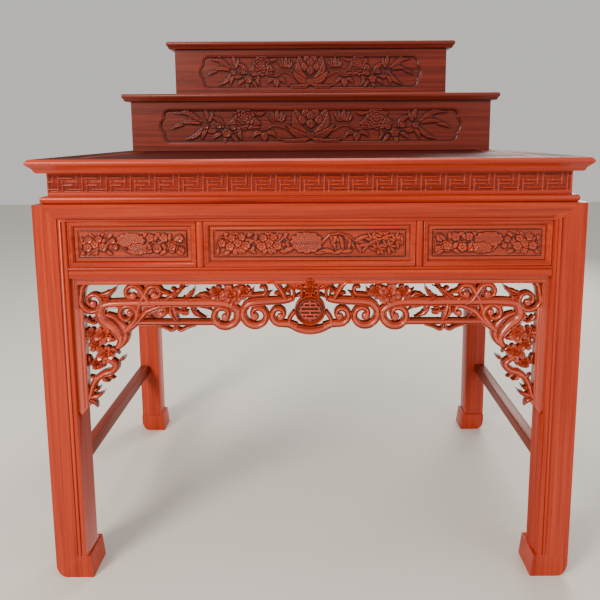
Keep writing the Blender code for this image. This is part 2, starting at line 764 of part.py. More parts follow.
def build_waist(group, workshop):
    names = ("waist_back", "waist_left", "waist_right")
    made = mitred_ring(names, group, waist_section(False), LEG_X, LEG_Y)
    front = mitred_ring(["waist_front"], group, waist_section(True), LEG_X, LEG_Y)[0]
    outer_y = -LEG_Y + WAIST_INSET
    length = 2 * (LEG_X - WAIST_INSET - FRET_BAR)
    count = int(length / FRET_PITCH) - 1
    start = -(count - 1) / 2 * FRET_PITCH
    low_z = WAIST_BEAD_TOP + FRET_FOOT_MARGIN
    y_front = outer_y + FRET_SINK
    y_back = outer_y + FRET_RELIEF + BITE
    bars = []
    for index in range(count):
        for outline in fret_unit(start + index * FRET_PITCH, low_z):
            bars.append(prism("bar", workshop, outline, y_front, y_back))
    made.append(apply_boolean(front, "UNION", bars, workshop))
    bead = WAIST_BEAD_HEIGHT / 2
    outer = -WAIST_BEAD_INSET
    low = FRAME_HEIGHT + JOINT_GAP
    high = WAIST_BEAD_TOP - JOINT_GAP
    section = [
        (outer - WAIST_BEAD_DEPTH, low),
        (outer - bead * 0.4, low),
        (outer, low + bead * 0.5),
        (outer, high - bead * 0.5),
        (outer - bead * 0.4, high),
        (outer - WAIST_BEAD_DEPTH, high),
    ]
    bead_names = ["waist_moulding_" + where for where in ("front", "back", "left", "right")]
    return made + mitred_ring(bead_names, group, section, LEG_X, LEG_Y)


def build_top(group):
    # The nose of the top frame is rounded, with a cove under it.
    top = TABLE_TOP
    bottom = WAIST_TOP
    nose = TOP_NOSE_HEIGHT
    section = [
        (-TOP_MEMBER_WIDTH, bottom),
        (-TOP_COVE_INSET, bottom),
        (-TOP_COVE_INSET * 0.75, bottom + (TOP_THICKNESS - nose) * 0.6),
        (-nose * 0.35, top - nose),
        (0.0, top - nose * 0.65),
        (0.0, top - nose * 0.35),
        (-nose * 0.35, top),
        (-TOP_MEMBER_WIDTH, top),
    ]
    names = ("top_frame_front", "top_frame_back", "top_frame_left", "top_frame_right")
    made = mitred_ring(names, group, section, SLAB_X, SLAB_Y)
    half_x = SLAB_X - TOP_MEMBER_WIDTH - JOINT_GAP
    half_y = SLAB_Y - TOP_MEMBER_WIDTH - JOINT_GAP
    high = TABLE_TOP - TOP_PANEL_DROP
    low = high - TOP_PANEL_THICKNESS
    made.append(box("top_panel", group, (-half_x, -half_y, low), (half_x, half_y, high)))
    return made


def build_stretchers(group):
    made = []
    for side, name in ((-1, "side_stretcher_left"), (1, "side_stretcher_right")):
        edges = sorted((side * LEG_X, side * (LEG_X - STRETCHER_WIDTH)))
        low = (edges[0], -LEG_Y + LEG_DEPTH + JOINT_GAP, STRETCHER_LEVEL)
        high = (edges[1], LEG_Y - BACK_LEG_DEPTH - JOINT_GAP, STRETCHER_LEVEL + STRETCHER_HEIGHT)
        stretcher = box(name, group, low, high)
        edges = stretcher.data.edges
        along = [edge for edge in edges if abs(edge_run(stretcher, edge).y) > STRETCHER_WIDTH * 2]
        weights = stretcher.data.attributes.new("bevel_weight_edge", "FLOAT", "EDGE")
        for edge in along:
            weights.data[edge.index].value = 1.0
        bevel = stretcher.modifiers.new("round", "BEVEL")
        bevel.limit_method = "WEIGHT"
        bevel.width = STRETCHER_ROUND
        bevel.segments = 2
        made.append(stretcher)
    return made


def edge_run(item, edge):
    first, second = edge.vertices
    return item.data.vertices[second].co - item.data.vertices[first].co


def drawn(out, down, side=1):
    # From the drawing of the apron's half, in millimetres, to X and Z.
    x = out / DRAWN_HALF_WIDTH * (LEG_INNER_X - JOINT_GAP)
    return side * x, APRON_TOP - JOINT_GAP - down / DRAWN_DROP * APRON_DROP


def drawn_size(size):
    return size / DRAWN_HALF_WIDTH * (LEG_INNER_X - JOINT_GAP)


def drawn_path(points, side=1):
    return [(*drawn(out, down, side), drawn_size(width)) for out, down, width in points]


def apron_strands():
    # The carved scrolls of one half. Each is a lead of (out, down, width) points that
    # runs into a spiral: its centre, radii, degrees and widths. Degrees turn from the
    # leg (0) downwards (90).
    return {
        "corner": ([(640, 14, 13), (655, 32, 13)], ((627, 73), (36, 9), (0, 450), (13, 9))),
        "band": (
            [(562, 212, 12), (551, 186, 18), (576, 150, 23), (602, 128, 24)]
            + [(606, 102, 22), (584, 82, 20)]
            + [(482, 78, 20), (374, 78, 20), (262, 79, 20), (222, 92, 19)],
            ((250, 115), (43, 9), (195, -235), (18, 10)),
        ),
        "coil_strand": (
            [(590, 112, 10), (560, 126, 15), (537, 158, 18), (540, 190, 15), (560, 212, 10)],
            None,
        ),
        "left_head": (
            [(446, 84, 12), (464, 75, 13), (477, 56, 13)],
            ((513, 50), (27, 8), (212, 470), (13, 9)),
        ),
        "right_head": (
            [(500, 108, 12), (488, 74, 13), (476, 54, 13)],
            ((446, 50), (25, 8), (-28, -290), (13, 9)),
        ),
        "fan": ([(538, 166, 13), (504, 126, 14)], ((529, 112), (30, 9), (178, 560), (14, 9))),
        "crescent": (
            [(530, 160, 12), (500, 134, 14), (474, 104, 14)],
            ((430, 107), (19, 6), (300, 90), (12, 8)),
        ),
        "lower_bar": ([(508, 137, 13), (262, 137, 13)], None),
        "hanging_outer": ([(446, 145, 6), (422, 152, 7)], ((401, 148), (13, 5), (70, 300), (8, 6))),
        "hanging_inner": ([(332, 145, 6), (356, 152, 7)], ((377, 148), (13, 5), (110, -120), (8, 6))),
        "inner_spiral": (
            [(52, 66, 14), (78, 72, 16), (160, 77, 18), (184, 87, 18)],
            ((154, 114), (42, 9), (-18, 400), (17, 10)),
        ),
        "tendril": ([(190, 52, 9), (158, 57, 8)], ((138, 41), (14, 5), (70, 300), (8, 6))),
        "collar_scroll": ([(40, 152, 18), (62, 143, 16)], ((88, 114), (28, 8), (100, -250), (16, 9))),
        "link": ([(222, 114, 12), (184, 114, 12)], None),
        "collar_side": ([(58, 146, 12), (60, 128, 10), (44, 104, 10)], None),
        "wing": ([(4, 30, 14), (30, 31, 16), (84, 12, 10)], None),
        "neck": ([(62, 78, 12), (68, 60, 12)], ((90, 40), (17, 7), (170, 440), (12, 8))),
        "bracket_end": (
            [(600, 240, 12), (570, 264, 15), (582, 284, 15)]
            + [(608, 293, 15), (634, 316, 14), (652, 368, 12)],
            None,
        ),
    }


def apron_leaves():
    # Leaves of one half: base, tip and width.
    return (
        ((612, 56), (552, 24), 17),
        ((586, 80), (572, 50), 12),
        ((398, 84), (376, 138), 27),
        ((320, 74), (366, 58), 15),
        ((286, 66), (334, 60), 18),
        ((262, 56), (300, 36), 15),
        ((188, 60), (160, 30), 14),
        ((74, 66), (62, 28), 12),
        ((656, 364), (606, 344), 15),
        ((656, 372), (630, 396), 15),
        ((600, 176), (560, 186), 22),
        ((600, 246), (634, 280), 17),
    )


def apron_flowers():
    # Flowers of one half: centre and radius.
    return (
        ((228, 57), 33),
        ((266, 54), 22),
        ((192, 52), 21),
        ((636, 174), 20),
        ((602, 176), 29),
        ((618, 206), 21),
        ((604, 234), 29),
        ((624, 264), 16),
    )


def medallion_parts(group, y_front, y_back):
    # A ring round a sunk disc that carries a fret of straight bars, even on both sides.
    bm = bmesh.new()
    rings = (
        (MEDALLION_RADIUS, y_back),
        (MEDALLION_RADIUS, y_front),
        (MEDALLION_RADIUS - MEDALLION_RING, y_front),
        (MEDALLION_RADIUS - MEDALLION_RING, y_front + MEDALLION_SINK),
    )
    loops = []
    for radius, y in rings:
        loop = []
        for index in range(MEDALLION_SEGMENTS):
            angle = math.tau * (index + 0.5) / MEDALLION_SEGMENTS
            x, z = drawn(radius * math.cos(angle), MEDALLION_CENTRE_DROP + radius * math.sin(angle))
            loop.append(bm.verts.new((x, y, z)))
        loops.append(loop)
    for outer, inner in zip(loops, loops[1:]):
        for index in range(MEDALLION_SEGMENTS):
            after = (index + 1) % MEDALLION_SEGMENTS
            bm.faces.new((outer[index], outer[after], inner[after], inner[index]))
    bm.faces.new(loops[0])
    bm.faces.new(loops[-1])
    made = [mesh_object("medallion", bm, group)]
    half_bar = MEDALLION_BAR / 2
    y_bar = y_front + MEDALLION_SINK / 4
    y_ground = y_front + MEDALLION_SINK + BITE
    for row, reach in MEDALLION_ROWS:
        low = (-reach, MEDALLION_CENTRE_DROP + row - half_bar)
        high = (reach, MEDALLION_CENTRE_DROP + row + half_bar)
        made.append(drawn_box("bar", group, low, high, y_bar, y_ground))
    for column, start, end in MEDALLION_COLUMNS:
        low = (column - half_bar, MEDALLION_CENTRE_DROP + start)
        high = (column + half_bar, MEDALLION_CENTRE_DROP + end)
        made.append(drawn_box("bar", group, low, high, y_bar, y_ground))
    return made


def drawn_box(name, group, low, high, y_front, y_back):
    left, top = drawn(*low)
    right, bottom = drawn(*high)
    return box(name, group, (left, y_front, bottom), (right, y_back, top))


def apron_border(group, y_front, y_back):
    # The strip under the rail and down both legs, with its tapered ends.
    side = ((683, 0), (683, 404), (674, 415), (652, 388), (652, 98), (664, 88), (664, 22))
    right = [drawn(out, down) for out, down in side]
    left = [drawn(out, down, -1) for out, down in reversed(side)]
    return prism("border", group, right + left, y_front, y_back)


def apron_side_parts(group, side, back):
    # Every strand, leaf and flower of one half. They reach behind the board's back,
    # each to its own depth, and are cut off there together.
    made = []
    for index, (name, (lead, turn)) in enumerate(apron_strands().items()):
        y_back = back + APRON_STAGGER * (2 + index % 7)
        depth = APRON_DEPTH * (0.92 + 0.02 * (index % 5))
        path = smoothed(lead, 2) if len(lead) > 4 else list(lead)
        if turn:
            path = path + spiral(*turn)
            out, down, width = path[-1]
            if turn[1][0] > KNOB_FROM:
                centre = drawn(out, down, side)
                radius = drawn_size(width * 0.85)
                made.append(knob(name + "_knob", group, centre, radius, y_back + BITE, depth * 0.85))
        made.append(ribbon(name, group, drawn_path(path, side), y_back, depth))
    for index, (base, tip, width) in enumerate(apron_leaves()):
        y_back = back + APRON_STAGGER * (2.5 + index % 5)
        ends = (drawn(*base, side), drawn(*tip, side))
        full = width > FULL_LEAF_WIDTH
        made.append(leaf(f"leaf{index}", group, *ends, drawn_size(width), y_back, APRON_DEPTH * 0.85, full))
    for index, (centre, radius) in enumerate(apron_flowers()):
        y_back = back + APRON_STAGGER * (2.3 + index % 4)
        placed = drawn(*centre, side)
        size = drawn_size(radius)
        made.append(flower(f"flower{index}", group, placed, size, 4, y_back, APRON_DEPTH * 0.98))
    return made


def apron_whole(workshop):
    # Border, carving and medallion joined into one body with a flat back.
    front = -LEG_Y + APRON_SETBACK
    back = front + APRON_DEPTH
    border = apron_border(workshop, front, back + APRON_STAGGER)
    others = []
    for side in (-1, 1):
        others += apron_side_parts(workshop, side, back)
    others += medallion_parts(workshop, front + BITE, back + APRON_STAGGER * 9.5)
    collar = [(-62, 143, 16), (-34, 157, 22), (0, 162, 25), (34, 157, 22), (62, 143, 16)]
    path = drawn_path(smoothed(collar, 2))
    others.append(ribbon("collar", workshop, path, back + APRON_STAGGER * 10, APRON_DEPTH))
    body = (drawn(0, 66), drawn(0, 4))
    y_body = back + APRON_STAGGER * 8.7
    others.append(leaf("bat_body", workshop, *body, drawn_size(42), y_body, APRON_DEPTH * 1.1))
    apply_boolean(border, "UNION", others, workshop)
    low = (-TABLE_WIDTH, back, APRON_TOP - TABLE_WIDTH)
    high = (TABLE_WIDTH, back + APRON_DEPTH, APRON_TOP + TABLE_WIDTH)
    return apply_boolean(border, "DIFFERENCE", [box("behind", workshop, low, high)], workshop)


def build_apron(group, workshop):
    whole = apron_whole(workshop)
    beyond = 0.05
    joint_z = APRON_TOP - APRON_JOINT_DROP
    split_x = LEG_INNER_X - APRON_JOINT_REACH
    made = []
    for side, name in ((-1, "apron_bracket_left"), (1, "apron_bracket_right")):
        bracket = bpy.data.objects.new(name, whole.data.copy())
        group.objects.link(bracket)
        edges = sorted((side * split_x, side * (LEG_INNER_X + beyond)))
        low = (edges[0], -LEG_Y - beyond, APRON_TOP - APRON_DROP - beyond)
        high = (edges[1], -LEG_Y + beyond, joint_z - JOINT_GAP / 2)
        apply_boolean(bracket, "INTERSECT", [box("within", workshop, low, high)], workshop)
        made.append(bracket)
    below = []
    for side in (-1, 1):
        edges = sorted((side * split_x, side * (LEG_INNER_X + beyond)))
        low = (edges[0], -LEG_Y - beyond, APRON_TOP - APRON_DROP - beyond)
        high = (edges[1], -LEG_Y + beyond, joint_z + JOINT_GAP / 2)
        below.append(box("below", workshop, low, high))
    apply_boolean(whole, "DIFFERENCE", below, workshop)
    workshop.objects.unlink(whole)
    group.objects.link(whole)
    whole.name = "apron_centre"
    thin_out(whole, APRON_FACE_SHARE)
    return [whole, *made]


def plain_apron_outline(half_length):
    # A straight board whose ends come down the legs in a quarter-round.
    low = APRON_TOP - PLAIN_APRON_HEIGHT
    foot = APRON_TOP - PLAIN_BRACKET_DROP
    side = [(half_length, APRON_TOP - JOINT_GAP), (half_length, foot)]
    narrow = PLAIN_BRACKET_REACH * 0.25
    for index in range(PLAIN_BRACKET_STEPS + 1):
        angle = math.pi / 2 * index / PLAIN_BRACKET_STEPS
        x = half_length - narrow - (PLAIN_BRACKET_REACH - narrow) * (1 - math.cos(angle))
        side.append((x, foot + (low - foot) * math.sin(angle)))
    return side + [(-x, z) for x, z in reversed(side)]


def build_plain_aprons(group):
    thick = PLAIN_APRON_THICKNESS
    setback = PLAIN_APRON_SETBACK
    half_back = BACK_LEG_INNER_X - JOINT_GAP
    y_face = LEG_Y - setback
    made = [prism("apron_back", group, plain_apron_outline(half_back), y_face - thick, y_face)]
    front_end = -LEG_Y + LEG_DEPTH + JOINT_GAP
    back_end = LEG_Y - BACK_LEG_DEPTH - JOINT_GAP
    middle = (front_end + back_end) / 2
    outline = plain_apron_outline((back_end - front_end) / 2)
    for side, name in ((-1, "apron_side_left"), (1, "apron_side_right")):
        outer = side * (LEG_X - setback)
        inner = side * (LEG_X - setback - thick)
        apron = prism(name, group, outline, min(outer, inner), max(outer, inner))
        turned = Matrix(((0, 1, 0, 0), (1, 0, 0, middle), (0, 0, 1, 0), (0, 0, 0, 1)))
        bm = bmesh.new()
        bm.from_mesh(apron.data)
        bmesh.ops.transform(bm, matrix=turned, verts=bm.verts)
        bmesh.ops.recalc_face_normals(bm, faces=bm.faces)
        bm.to_mesh(apron.data)
        bm.free()
        made.append(apron)
    return made


def cartouche_outline(length, height, middle_z):
    # A long field whose ends have a large lobe between two small ones, with cusps.
    small = height * 0.22
    large = height * 0.30
    half = length / 2
    side = []
    corner = half - large * 0.85 - small * 0.3
    for index in range(3):
        angle = math.pi / 2 * (1 - index / 2)
        side.append((corner + small * math.cos(angle), height / 2 - small + small * math.sin(angle)))
    for index in range(5):
        angle = CARTOUCHE_LOBE_ANGLE * (1 - index / 2)
        side.append((half - large + large * math.cos(angle), large * math.sin(angle)))
    for index in range(3):
        angle = -math.pi / 2 * index / 2
        side.append((corner + small * math.cos(angle), small - height / 2 + small * math.sin(angle)))
    outline = side + [(-x, z) for x, z in reversed(side)]
    return [(x, middle_z + z) for x, z in outline]


def step_carving(group, length, height, middle_z, y_ground):
    # A lotus in the middle; on each side a bud, a peony, a low flower and leaves on a winding stem.
    y_back = y_ground + BITE
    depth = CARTOUCHE_CARVING_RISE + BITE
    half = length / 2
    tall = height / 2
    made = []
    for turn, reach in ((90, 0.86), (56, 0.72), (124, 0.72), (18, 0.86), (162, 0.86)):
        angle = math.radians(turn)
        out = tall * reach * 1.25 * math.cos(angle)
        tip = (out, middle_z - tall * 0.5 + tall * reach * 1.3 * math.sin(angle))
        made.append(leaf("petal", group, (0.0, middle_z - tall * 0.62), tip, tall * 0.42, y_back, depth))
    for side in (-1, 1):
        for across, low, high, width in ((0.205, 0.18, 0.76, 0.36), (0.29, -0.72, -0.12, 0.30)):
            root = (side * half * across, middle_z + tall * low)
            tip = (side * half * across, middle_z + tall * high)
            made.append(leaf("bud", group, root, tip, tall * width, y_back, depth))
        peony = (side * half * 0.42, middle_z + tall * 0.32)
        made.append(flower("peony", group, peony, tall * 0.46, 5, y_back, depth))
        for across, up, turn in STEM_LEAVES:
            angle = math.radians(turn if side < 0 else 180 - turn)
            base = (side * half * across, middle_z + tall * up)
            tip = (base[0] + tall * 0.62 * math.cos(angle), base[1] + tall * 0.62 * math.sin(angle))
            made.append(leaf("leaf", group, base, tip, tall * 0.2, y_back, depth))
        stem = []
        for index in range(7):
            share = 0.10 + 0.68 * index / 6
            up = -0.24 + 0.22 * math.sin(share * 11.0) + share * 0.25
            stem.append((side * half * share, middle_z + tall * up, tall * 0.09))
        made.append(ribbon("stem", group, stem, y_back, depth * 0.8))
    return made


def build_step(prefix, group, workshop, width, depth, height, base_z, cartouche_length):
    gap = JOINT_GAP
    half = width / 2
    front = RISER_BACK - depth
    low_z = base_z + gap
    high_z = base_z + height - gap
    board = box(prefix + "_front", group, (-half, front, low_z), (half, front + BOARD, high_z))
    middle_z = (low_z + high_z) / 2
    outline = cartouche_outline(cartouche_length, CARTOUCHE_HEIGHT, middle_z)
    sink = prism("sink", workshop, outline, front - BITE * 5, front + CARTOUCHE_SINK)
    apply_boolean(board, "DIFFERENCE", [sink], workshop)
    carving = step_carving(workshop, cartouche_length, CARTOUCHE_HEIGHT, middle_z, front + CARTOUCHE_SINK)
    made = [apply_boolean(board, "UNION", carving, workshop)]
    for side, name in ((-1, "_left"), (1, "_right")):
        edges = sorted((side * half, side * (half - BOARD)))
        low = (edges[0], front + BOARD + gap, low_z)
        high = (edges[1], RISER_BACK - BOARD - gap, high_z)
        made.append(box(prefix + name, group, low, high))
    low = (-half, RISER_BACK - BOARD, low_z)
    made.append(box(prefix + "_back", group, low, (half, RISER_BACK, high_z)))
    top = base_z + height
    levels = [
        (STEP_NOSE * 1.6, top),
        (STEP_NOSE * 1.2, top + STEP_TOP_THICKNESS * 0.25),
        (STEP_NOSE * 0.2, top + STEP_TOP_THICKNESS * 0.5),
        (0.0, top + STEP_TOP_THICKNESS * 0.75),
        (STEP_NOSE * 0.5, top + STEP_TOP_THICKNESS),
    ]
    nose_y = front - STEP_FRONT_OVERHANG
    made.append(slab(prefix + "_top", group, half + STEP_OVERHANG, nose_y, RISER_BACK, levels))
    return made


def build_riser(group, workshop):
    lower = build_step(
        "lower_step",
        group,
        workshop,
        LOWER_STEP_WIDTH,
        LOWER_STEP_DEPTH,
        LOWER_STEP_HEIGHT,
        TABLE_TOP,
        LOWER_CARTOUCHE_LENGTH,
    )
    upper = build_step(
        "upper_step",
        group,
        workshop,
        UPPER_STEP_WIDTH,
        UPPER_STEP_DEPTH,
        UPPER_STEP_HEIGHT,
        LOWER_STEP_TOP,
        UPPER_CARTOUCHE_LENGTH,
    )
    return lower + upper


def give_material(items, colour, roughness):
    for item in items:
        item.data.materials.clear()
        item.data.materials.append(wood(item.name + "_wood", colour, roughness))


def build_legs(group, workshop):
    made = []
    for side, hand in ((-1, "left"), (1, "right")):
        made.append(build_leg("leg_front_" + hand, group, workshop, side, True))
        made.append(build_leg("leg_back_" + hand, group, workshop, side, False))
    return made


def main():
    clear_scene()
    table = new_collection("altar_table")
    workshop = new_collection("cutters", hidden=True)
    frame = build_legs(table, workshop) + build_rails(table, workshop) + build_dividers(table)
    frames, panels = build_panels(table, workshop)
    frame += frames + build_plain_panels(table) + build_waist(table, workshop) + build_stretchers(table)
    frame += build_plain_aprons(table)
    carving = build_apron(table, workshop)
    give_material(frame, FRAME_COLOUR, 0.3)
    give_material(carving, CARVING_COLOUR, 0.35)
    give_material(panels, PANEL_COLOUR, 0.35)
    give_material(build_top(table), TOP_COLOUR, 0.2)
    give_material(build_riser(table, workshop), RISER_COLOUR, 0.3)


main()
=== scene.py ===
import json
import math

import bmesh
import bpy
import numpy as np
from mathutils import Matrix, Vector


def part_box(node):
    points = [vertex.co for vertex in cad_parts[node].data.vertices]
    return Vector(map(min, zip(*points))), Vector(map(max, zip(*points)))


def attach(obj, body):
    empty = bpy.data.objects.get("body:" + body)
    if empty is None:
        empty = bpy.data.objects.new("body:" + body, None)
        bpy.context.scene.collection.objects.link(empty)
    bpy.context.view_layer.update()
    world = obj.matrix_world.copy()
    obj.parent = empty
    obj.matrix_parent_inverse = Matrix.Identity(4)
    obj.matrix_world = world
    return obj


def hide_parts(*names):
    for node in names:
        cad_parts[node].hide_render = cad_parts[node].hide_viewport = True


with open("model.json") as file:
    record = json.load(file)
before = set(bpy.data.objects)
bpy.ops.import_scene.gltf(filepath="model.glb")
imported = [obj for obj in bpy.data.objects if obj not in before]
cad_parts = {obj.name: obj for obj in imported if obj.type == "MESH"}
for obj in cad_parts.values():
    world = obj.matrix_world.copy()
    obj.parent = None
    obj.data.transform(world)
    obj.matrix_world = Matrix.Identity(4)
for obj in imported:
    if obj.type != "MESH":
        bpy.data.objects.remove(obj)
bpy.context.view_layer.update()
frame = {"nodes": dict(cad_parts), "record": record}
print("frame loaded:", len(frame["nodes"]), "nodes")

mm = 0.001


def hexColour(code):
    # an sRGB hex value, as the linear colour that a shader takes
    values = [int(code[place:place + 2], 16) / 255 for place in (1, 3, 5)]
    return [v / 12.92 if v <= 0.04045 else ((v + 0.055) / 1.055) ** 2.4 for v in values] + [1.0]


def addNode(tree, kind, settings=None, links=None):
    node = tree.nodes.new(kind)
    for key, value in (settings or {}).items():
        if isinstance(key, int) or key in node.inputs:
            node.inputs[key].default_value = value
        else:
            setattr(node, key, value)
    for socket, source in (links or {}).items():
        tree.links.new(source, node.inputs[socket])
    return node


# Reddish open-grained hardwood, planed, sanded and lacquered by hand: straight streaks of lighter and
# darker red along each member, short dark pores, and a satin gloss that gathers on rounded edges. Shine is
# the strength of that gloss, and coat is how much clear lacquer stands over the stain.
# Deep is the colour that the hollows of carving are darkened towards: gathered stain and painted shade.
woodLooks = {
    "frameWood": {"light": "#BE401E", "middle": "#A62E12", "dark": "#781C08", "deep": "#3C0E07",
                  "roughness": 0.34, "shine": 0.30, "coat": 0.05},
    "carvingWood": {"light": "#D05030", "middle": "#B03A1E", "dark": "#741C0C", "deep": "#1A0604",
                    "roughness": 0.28, "shine": 0.60, "coat": 0.30},
    "panelWood": {"light": "#C4461F", "middle": "#A23314", "dark": "#741F0B", "deep": "#220805",
                  "roughness": 0.34, "shine": 0.40, "coat": 0.08},
    # The top's dark colour is a painted reflection of the dark room that its lacquer mirrors at a low view.
    "topWood": {"light": "#4C1611", "middle": "#39100C", "dark": "#260A08", "deep": "#170605",
                "roughness": 0.55, "shine": 0.03, "coat": 0.0},
    "riserWood": {"light": "#82301F", "middle": "#662116", "dark": "#43140C", "deep": "#140504",
                  "roughness": 0.36, "shine": 0.22, "coat": 0.04},
    "plainWood": {"light": "#8A2E1A", "middle": "#702412", "dark": "#4E170B", "deep": "#2A0D08",
                  "roughness": 0.42, "shine": 0.28, "coat": 0.03},
}
grain = {
    "band": (11.0, 620.0),  # broad streaks, across and along, in millimetres
    "streak": (3.2, 210.0),  # fine streaks, drawn a little coarse so that they show
    "pore": (1.3, 16.0),  # short pores, drawn coarse too
    "streakShare": 0.45,  # what the fine streaks add to the broad ones
    "tones": (0.42, 0.66, 0.98),  # where the dark, middle and light tones lie
    "poreRange": (0.60, 0.72),  # where the pores begin and are full
    "poreTone": 0.55,  # how far a pore darkens the wood
    "bump": 0.12,
    "bumpDepth": 0.4 * mm,
    "boardShift": 3.1,  # how far apart two boards lie in the timber
}
lacquer = {"refraction": 1.5, "coatRoughness": 0.12}


def lacqueredWood(name, look, along, shift, carved):
    colours = {key: hexColour(value) for key, value in look.items() if isinstance(value, str)}
    material = bpy.data.materials.new(name)
    material.use_nodes = True
    tree = material.node_tree
    tree.nodes.clear()
    place = addNode(tree, "ShaderNodeTexCoord")

    def grainNoise(layer, detail, distortion):
        across, length = (1 / (size * mm) for size in grain[layer])
        scale = [across, across, across]
        scale["xyz".index(along)] = length
        mapping = addNode(tree, "ShaderNodeMapping",
                          {"Scale": scale, "Location": (shift, shift * 1.7, shift * 0.6)},
                          {"Vector": place.outputs["Object"]})
        noise = addNode(tree, "ShaderNodeTexNoise",
                        {"Scale": 1.0, "Detail": detail, "Roughness": 0.55, "Distortion": distortion},
                        {"Vector": mapping.outputs["Vector"]})
        return noise.outputs["Fac"]

    bands = grainNoise("band", 3.0, 0.5)
    streaks = grainNoise("streak", 4.0, 0.2)
    pores = grainNoise("pore", 2.0, 0.0)
    mixed = addNode(tree, "ShaderNodeMath", {"operation": "MULTIPLY_ADD", 1: grain["streakShare"]},
                    {0: streaks, 2: bands})
    ramp = addNode(tree, "ShaderNodeValToRGB", {}, {"Fac": mixed.outputs[0]})
    darkAt, middleAt, lightAt = grain["tones"]
    stops = ramp.color_ramp.elements
    stops[0].position, stops[0].color = darkAt, colours["dark"]
    stops[1].position, stops[1].color = lightAt, colours["light"]
    stops.new(middleAt).color = colours["middle"]
    poreFrom, poreTo = grain["poreRange"]
    poreMask = addNode(tree, "ShaderNodeMapRange",
                       {"From Min": poreFrom, "From Max": poreTo, "To Max": grain["poreTone"]},
                       {"Value": pores})
    wood = addNode(tree, "ShaderNodeMix", {"data_type": "RGBA", 7: colours["dark"]},
                   {0: poreMask.outputs[0], 6: ramp.outputs["Color"]}).outputs[2]
    if carved:
        # The hollows of carving are darker than the proud edges: partly stain that gathers there, partly
        # painted shade.
        shadeAndStain = addNode(tree, "ShaderNodeAttribute", {"attribute_name": "shadeAndStain"})
        wood = addNode(tree, "ShaderNodeMix", {"data_type": "RGBA", 7: colours["deep"]},
                       {0: shadeAndStain.outputs["Fac"], 6: wood}).outputs[2]
    height = addNode(tree, "ShaderNodeMath", {"operation": "MULTIPLY_ADD", 1: -0.6},
                     {0: poreMask.outputs[0], 2: streaks})
    bump = addNode(tree, "ShaderNodeBump", {"Strength": grain["bump"], "Distance": grain["bumpDepth"]},
                   {"Height": height.outputs[0]})
    shader = addNode(tree, "ShaderNodeBsdfPrincipled",
                     {"Roughness": look["roughness"], "Specular IOR Level": look["shine"],
                      "Coat Weight": look["coat"], "Coat Roughness": lacquer["coatRoughness"],
                      "IOR": lacquer["refraction"]},
                     {"Base Color": wood, "Normal": bump.outputs["Normal"]})
    addNode(tree, "ShaderNodeOutputMaterial", {}, {"Surface": shader.outputs["BSDF"]})
    return material


slotOf = {entry["node"]: entry["material_slot"] for entry in frame["record"]["subparts"]}


def woodFor(node, along, carved=False):
    # Each board is cut from another place of the timber. The low stretchers take the plain boards' darker
    # colour as painted shade, for the shadow of the table top over them.
    lookName = "plainWood" if node.startswith("side_stretcher") else slotOf[node].replace("_wood", "Wood")
    shift = grain["boardShift"] * (1 + sorted(slotOf).index(node))
    return lacqueredWood("lacquered_" + lookName + "_" + node, woodLooks[lookName], along, shift, carved)


def meshFrom(name, bm):
    mesh = bpy.data.meshes.new(name)
    bm.to_mesh(mesh)
    bm.free()
    return mesh


def vertsOf(geometry):
    return [item for item in geometry if isinstance(item, bmesh.types.BMVert)]


def rimOf(bm):
    return [edge for edge in bm.edges if edge.is_boundary]


def addObject(name, data):
    thing = bpy.data.objects.new(name, data)
    bpy.context.scene.collection.objects.link(thing)
    return thing


def newPiece(name, bm, replaced, material, smoothAngle=35):
    bmesh.ops.recalc_face_normals(bm, faces=bm.faces)
    return finishMesh(name, meshFrom(name, bm), replaced, material, smoothAngle)


def finishMesh(name, mesh, replaced, material, smoothAngle=35):
    piece = addObject(name, mesh)
    mesh.materials.clear()
    mesh.materials.append(material)
    mesh.polygons.foreach_set("use_smooth", [True] * len(mesh.polygons))
    mesh.set_sharp_from_angle(angle=math.radians(smoothAngle))
    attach(piece, "root")
    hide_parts(*replaced)
    return piece


def weldedCopy(node):
    bm = bmesh.new()
    bm.from_mesh(frame["nodes"][node].data)
    bmesh.ops.remove_doubles(bm, verts=bm.verts, dist=0.02 * mm)
    bmesh.ops.dissolve_limit(bm, angle_limit=math.radians(0.5), verts=bm.verts, edges=bm.edges)
    return bm


def roundEdges(bm, edges, width, segments):
    bmesh.ops.bevel(bm, geom=list(edges), offset=width, offset_type="OFFSET", segments=segments, profile=0.5,
                    affect="EDGES", clamp_overlap=True, material=-1)


def sharpEdges(bm):
    least = math.radians(30)
    return [edge for edge in bm.edges if len(edge.link_faces) == 2 and edge.calc_face_angle(0) > least]


def longEdges(bm, axis, places):
    # edges along one axis that pass through the given places in the other two, listed in x, y, z order
    others = [index for index in range(3) if index != axis]
    shortest, near = 200 * mm, 0.5 * mm

    def passes(ends, place):
        return all(abs(end[other] - wanted) < near for end in ends for other, wanted in zip(others, place))

    found = []
    for edge in bm.edges:
        ends = [vertex.co for vertex in edge.verts]
        if abs(ends[0][axis] - ends[1][axis]) >= shortest and any(passes(ends, place) for place in places):
            found.append(edge)
    return found


def softenedNode(node, along, width, segments):
    bm = weldedCopy(node)
    roundEdges(bm, sharpEdges(bm), width, segments)
    return newPiece(node + "_wood", bm, [node], woodFor(node, along))


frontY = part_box("leg_front_left")[0].y
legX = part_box("leg_front_right")[1].x
legBeads = {
    "edges": (69 * mm, 77.5 * mm, 80.5 * mm, 92 * mm),  # inwards from the leg's outer face
    "rounding": 3.2 * mm,
}
railBeads = {  # how far below the rail's upper edge its bead begins or ends, and the bead's rounding
    "front_top_rail": (42.5 * mm, 2.9 * mm),
    "front_lower_rail": (6.7 * mm, 3.0 * mm),
}
beadSegments = 4


def buildFrontLeg(node, side):
    bm = weldedCopy(node)
    places = [(side * (legX - inward), frontY) for inward in legBeads["edges"]]
    roundEdges(bm, longEdges(bm, 2, places), legBeads["rounding"], beadSegments)
    newPiece(node + "_wood", bm, [node], woodFor(node, "z"))


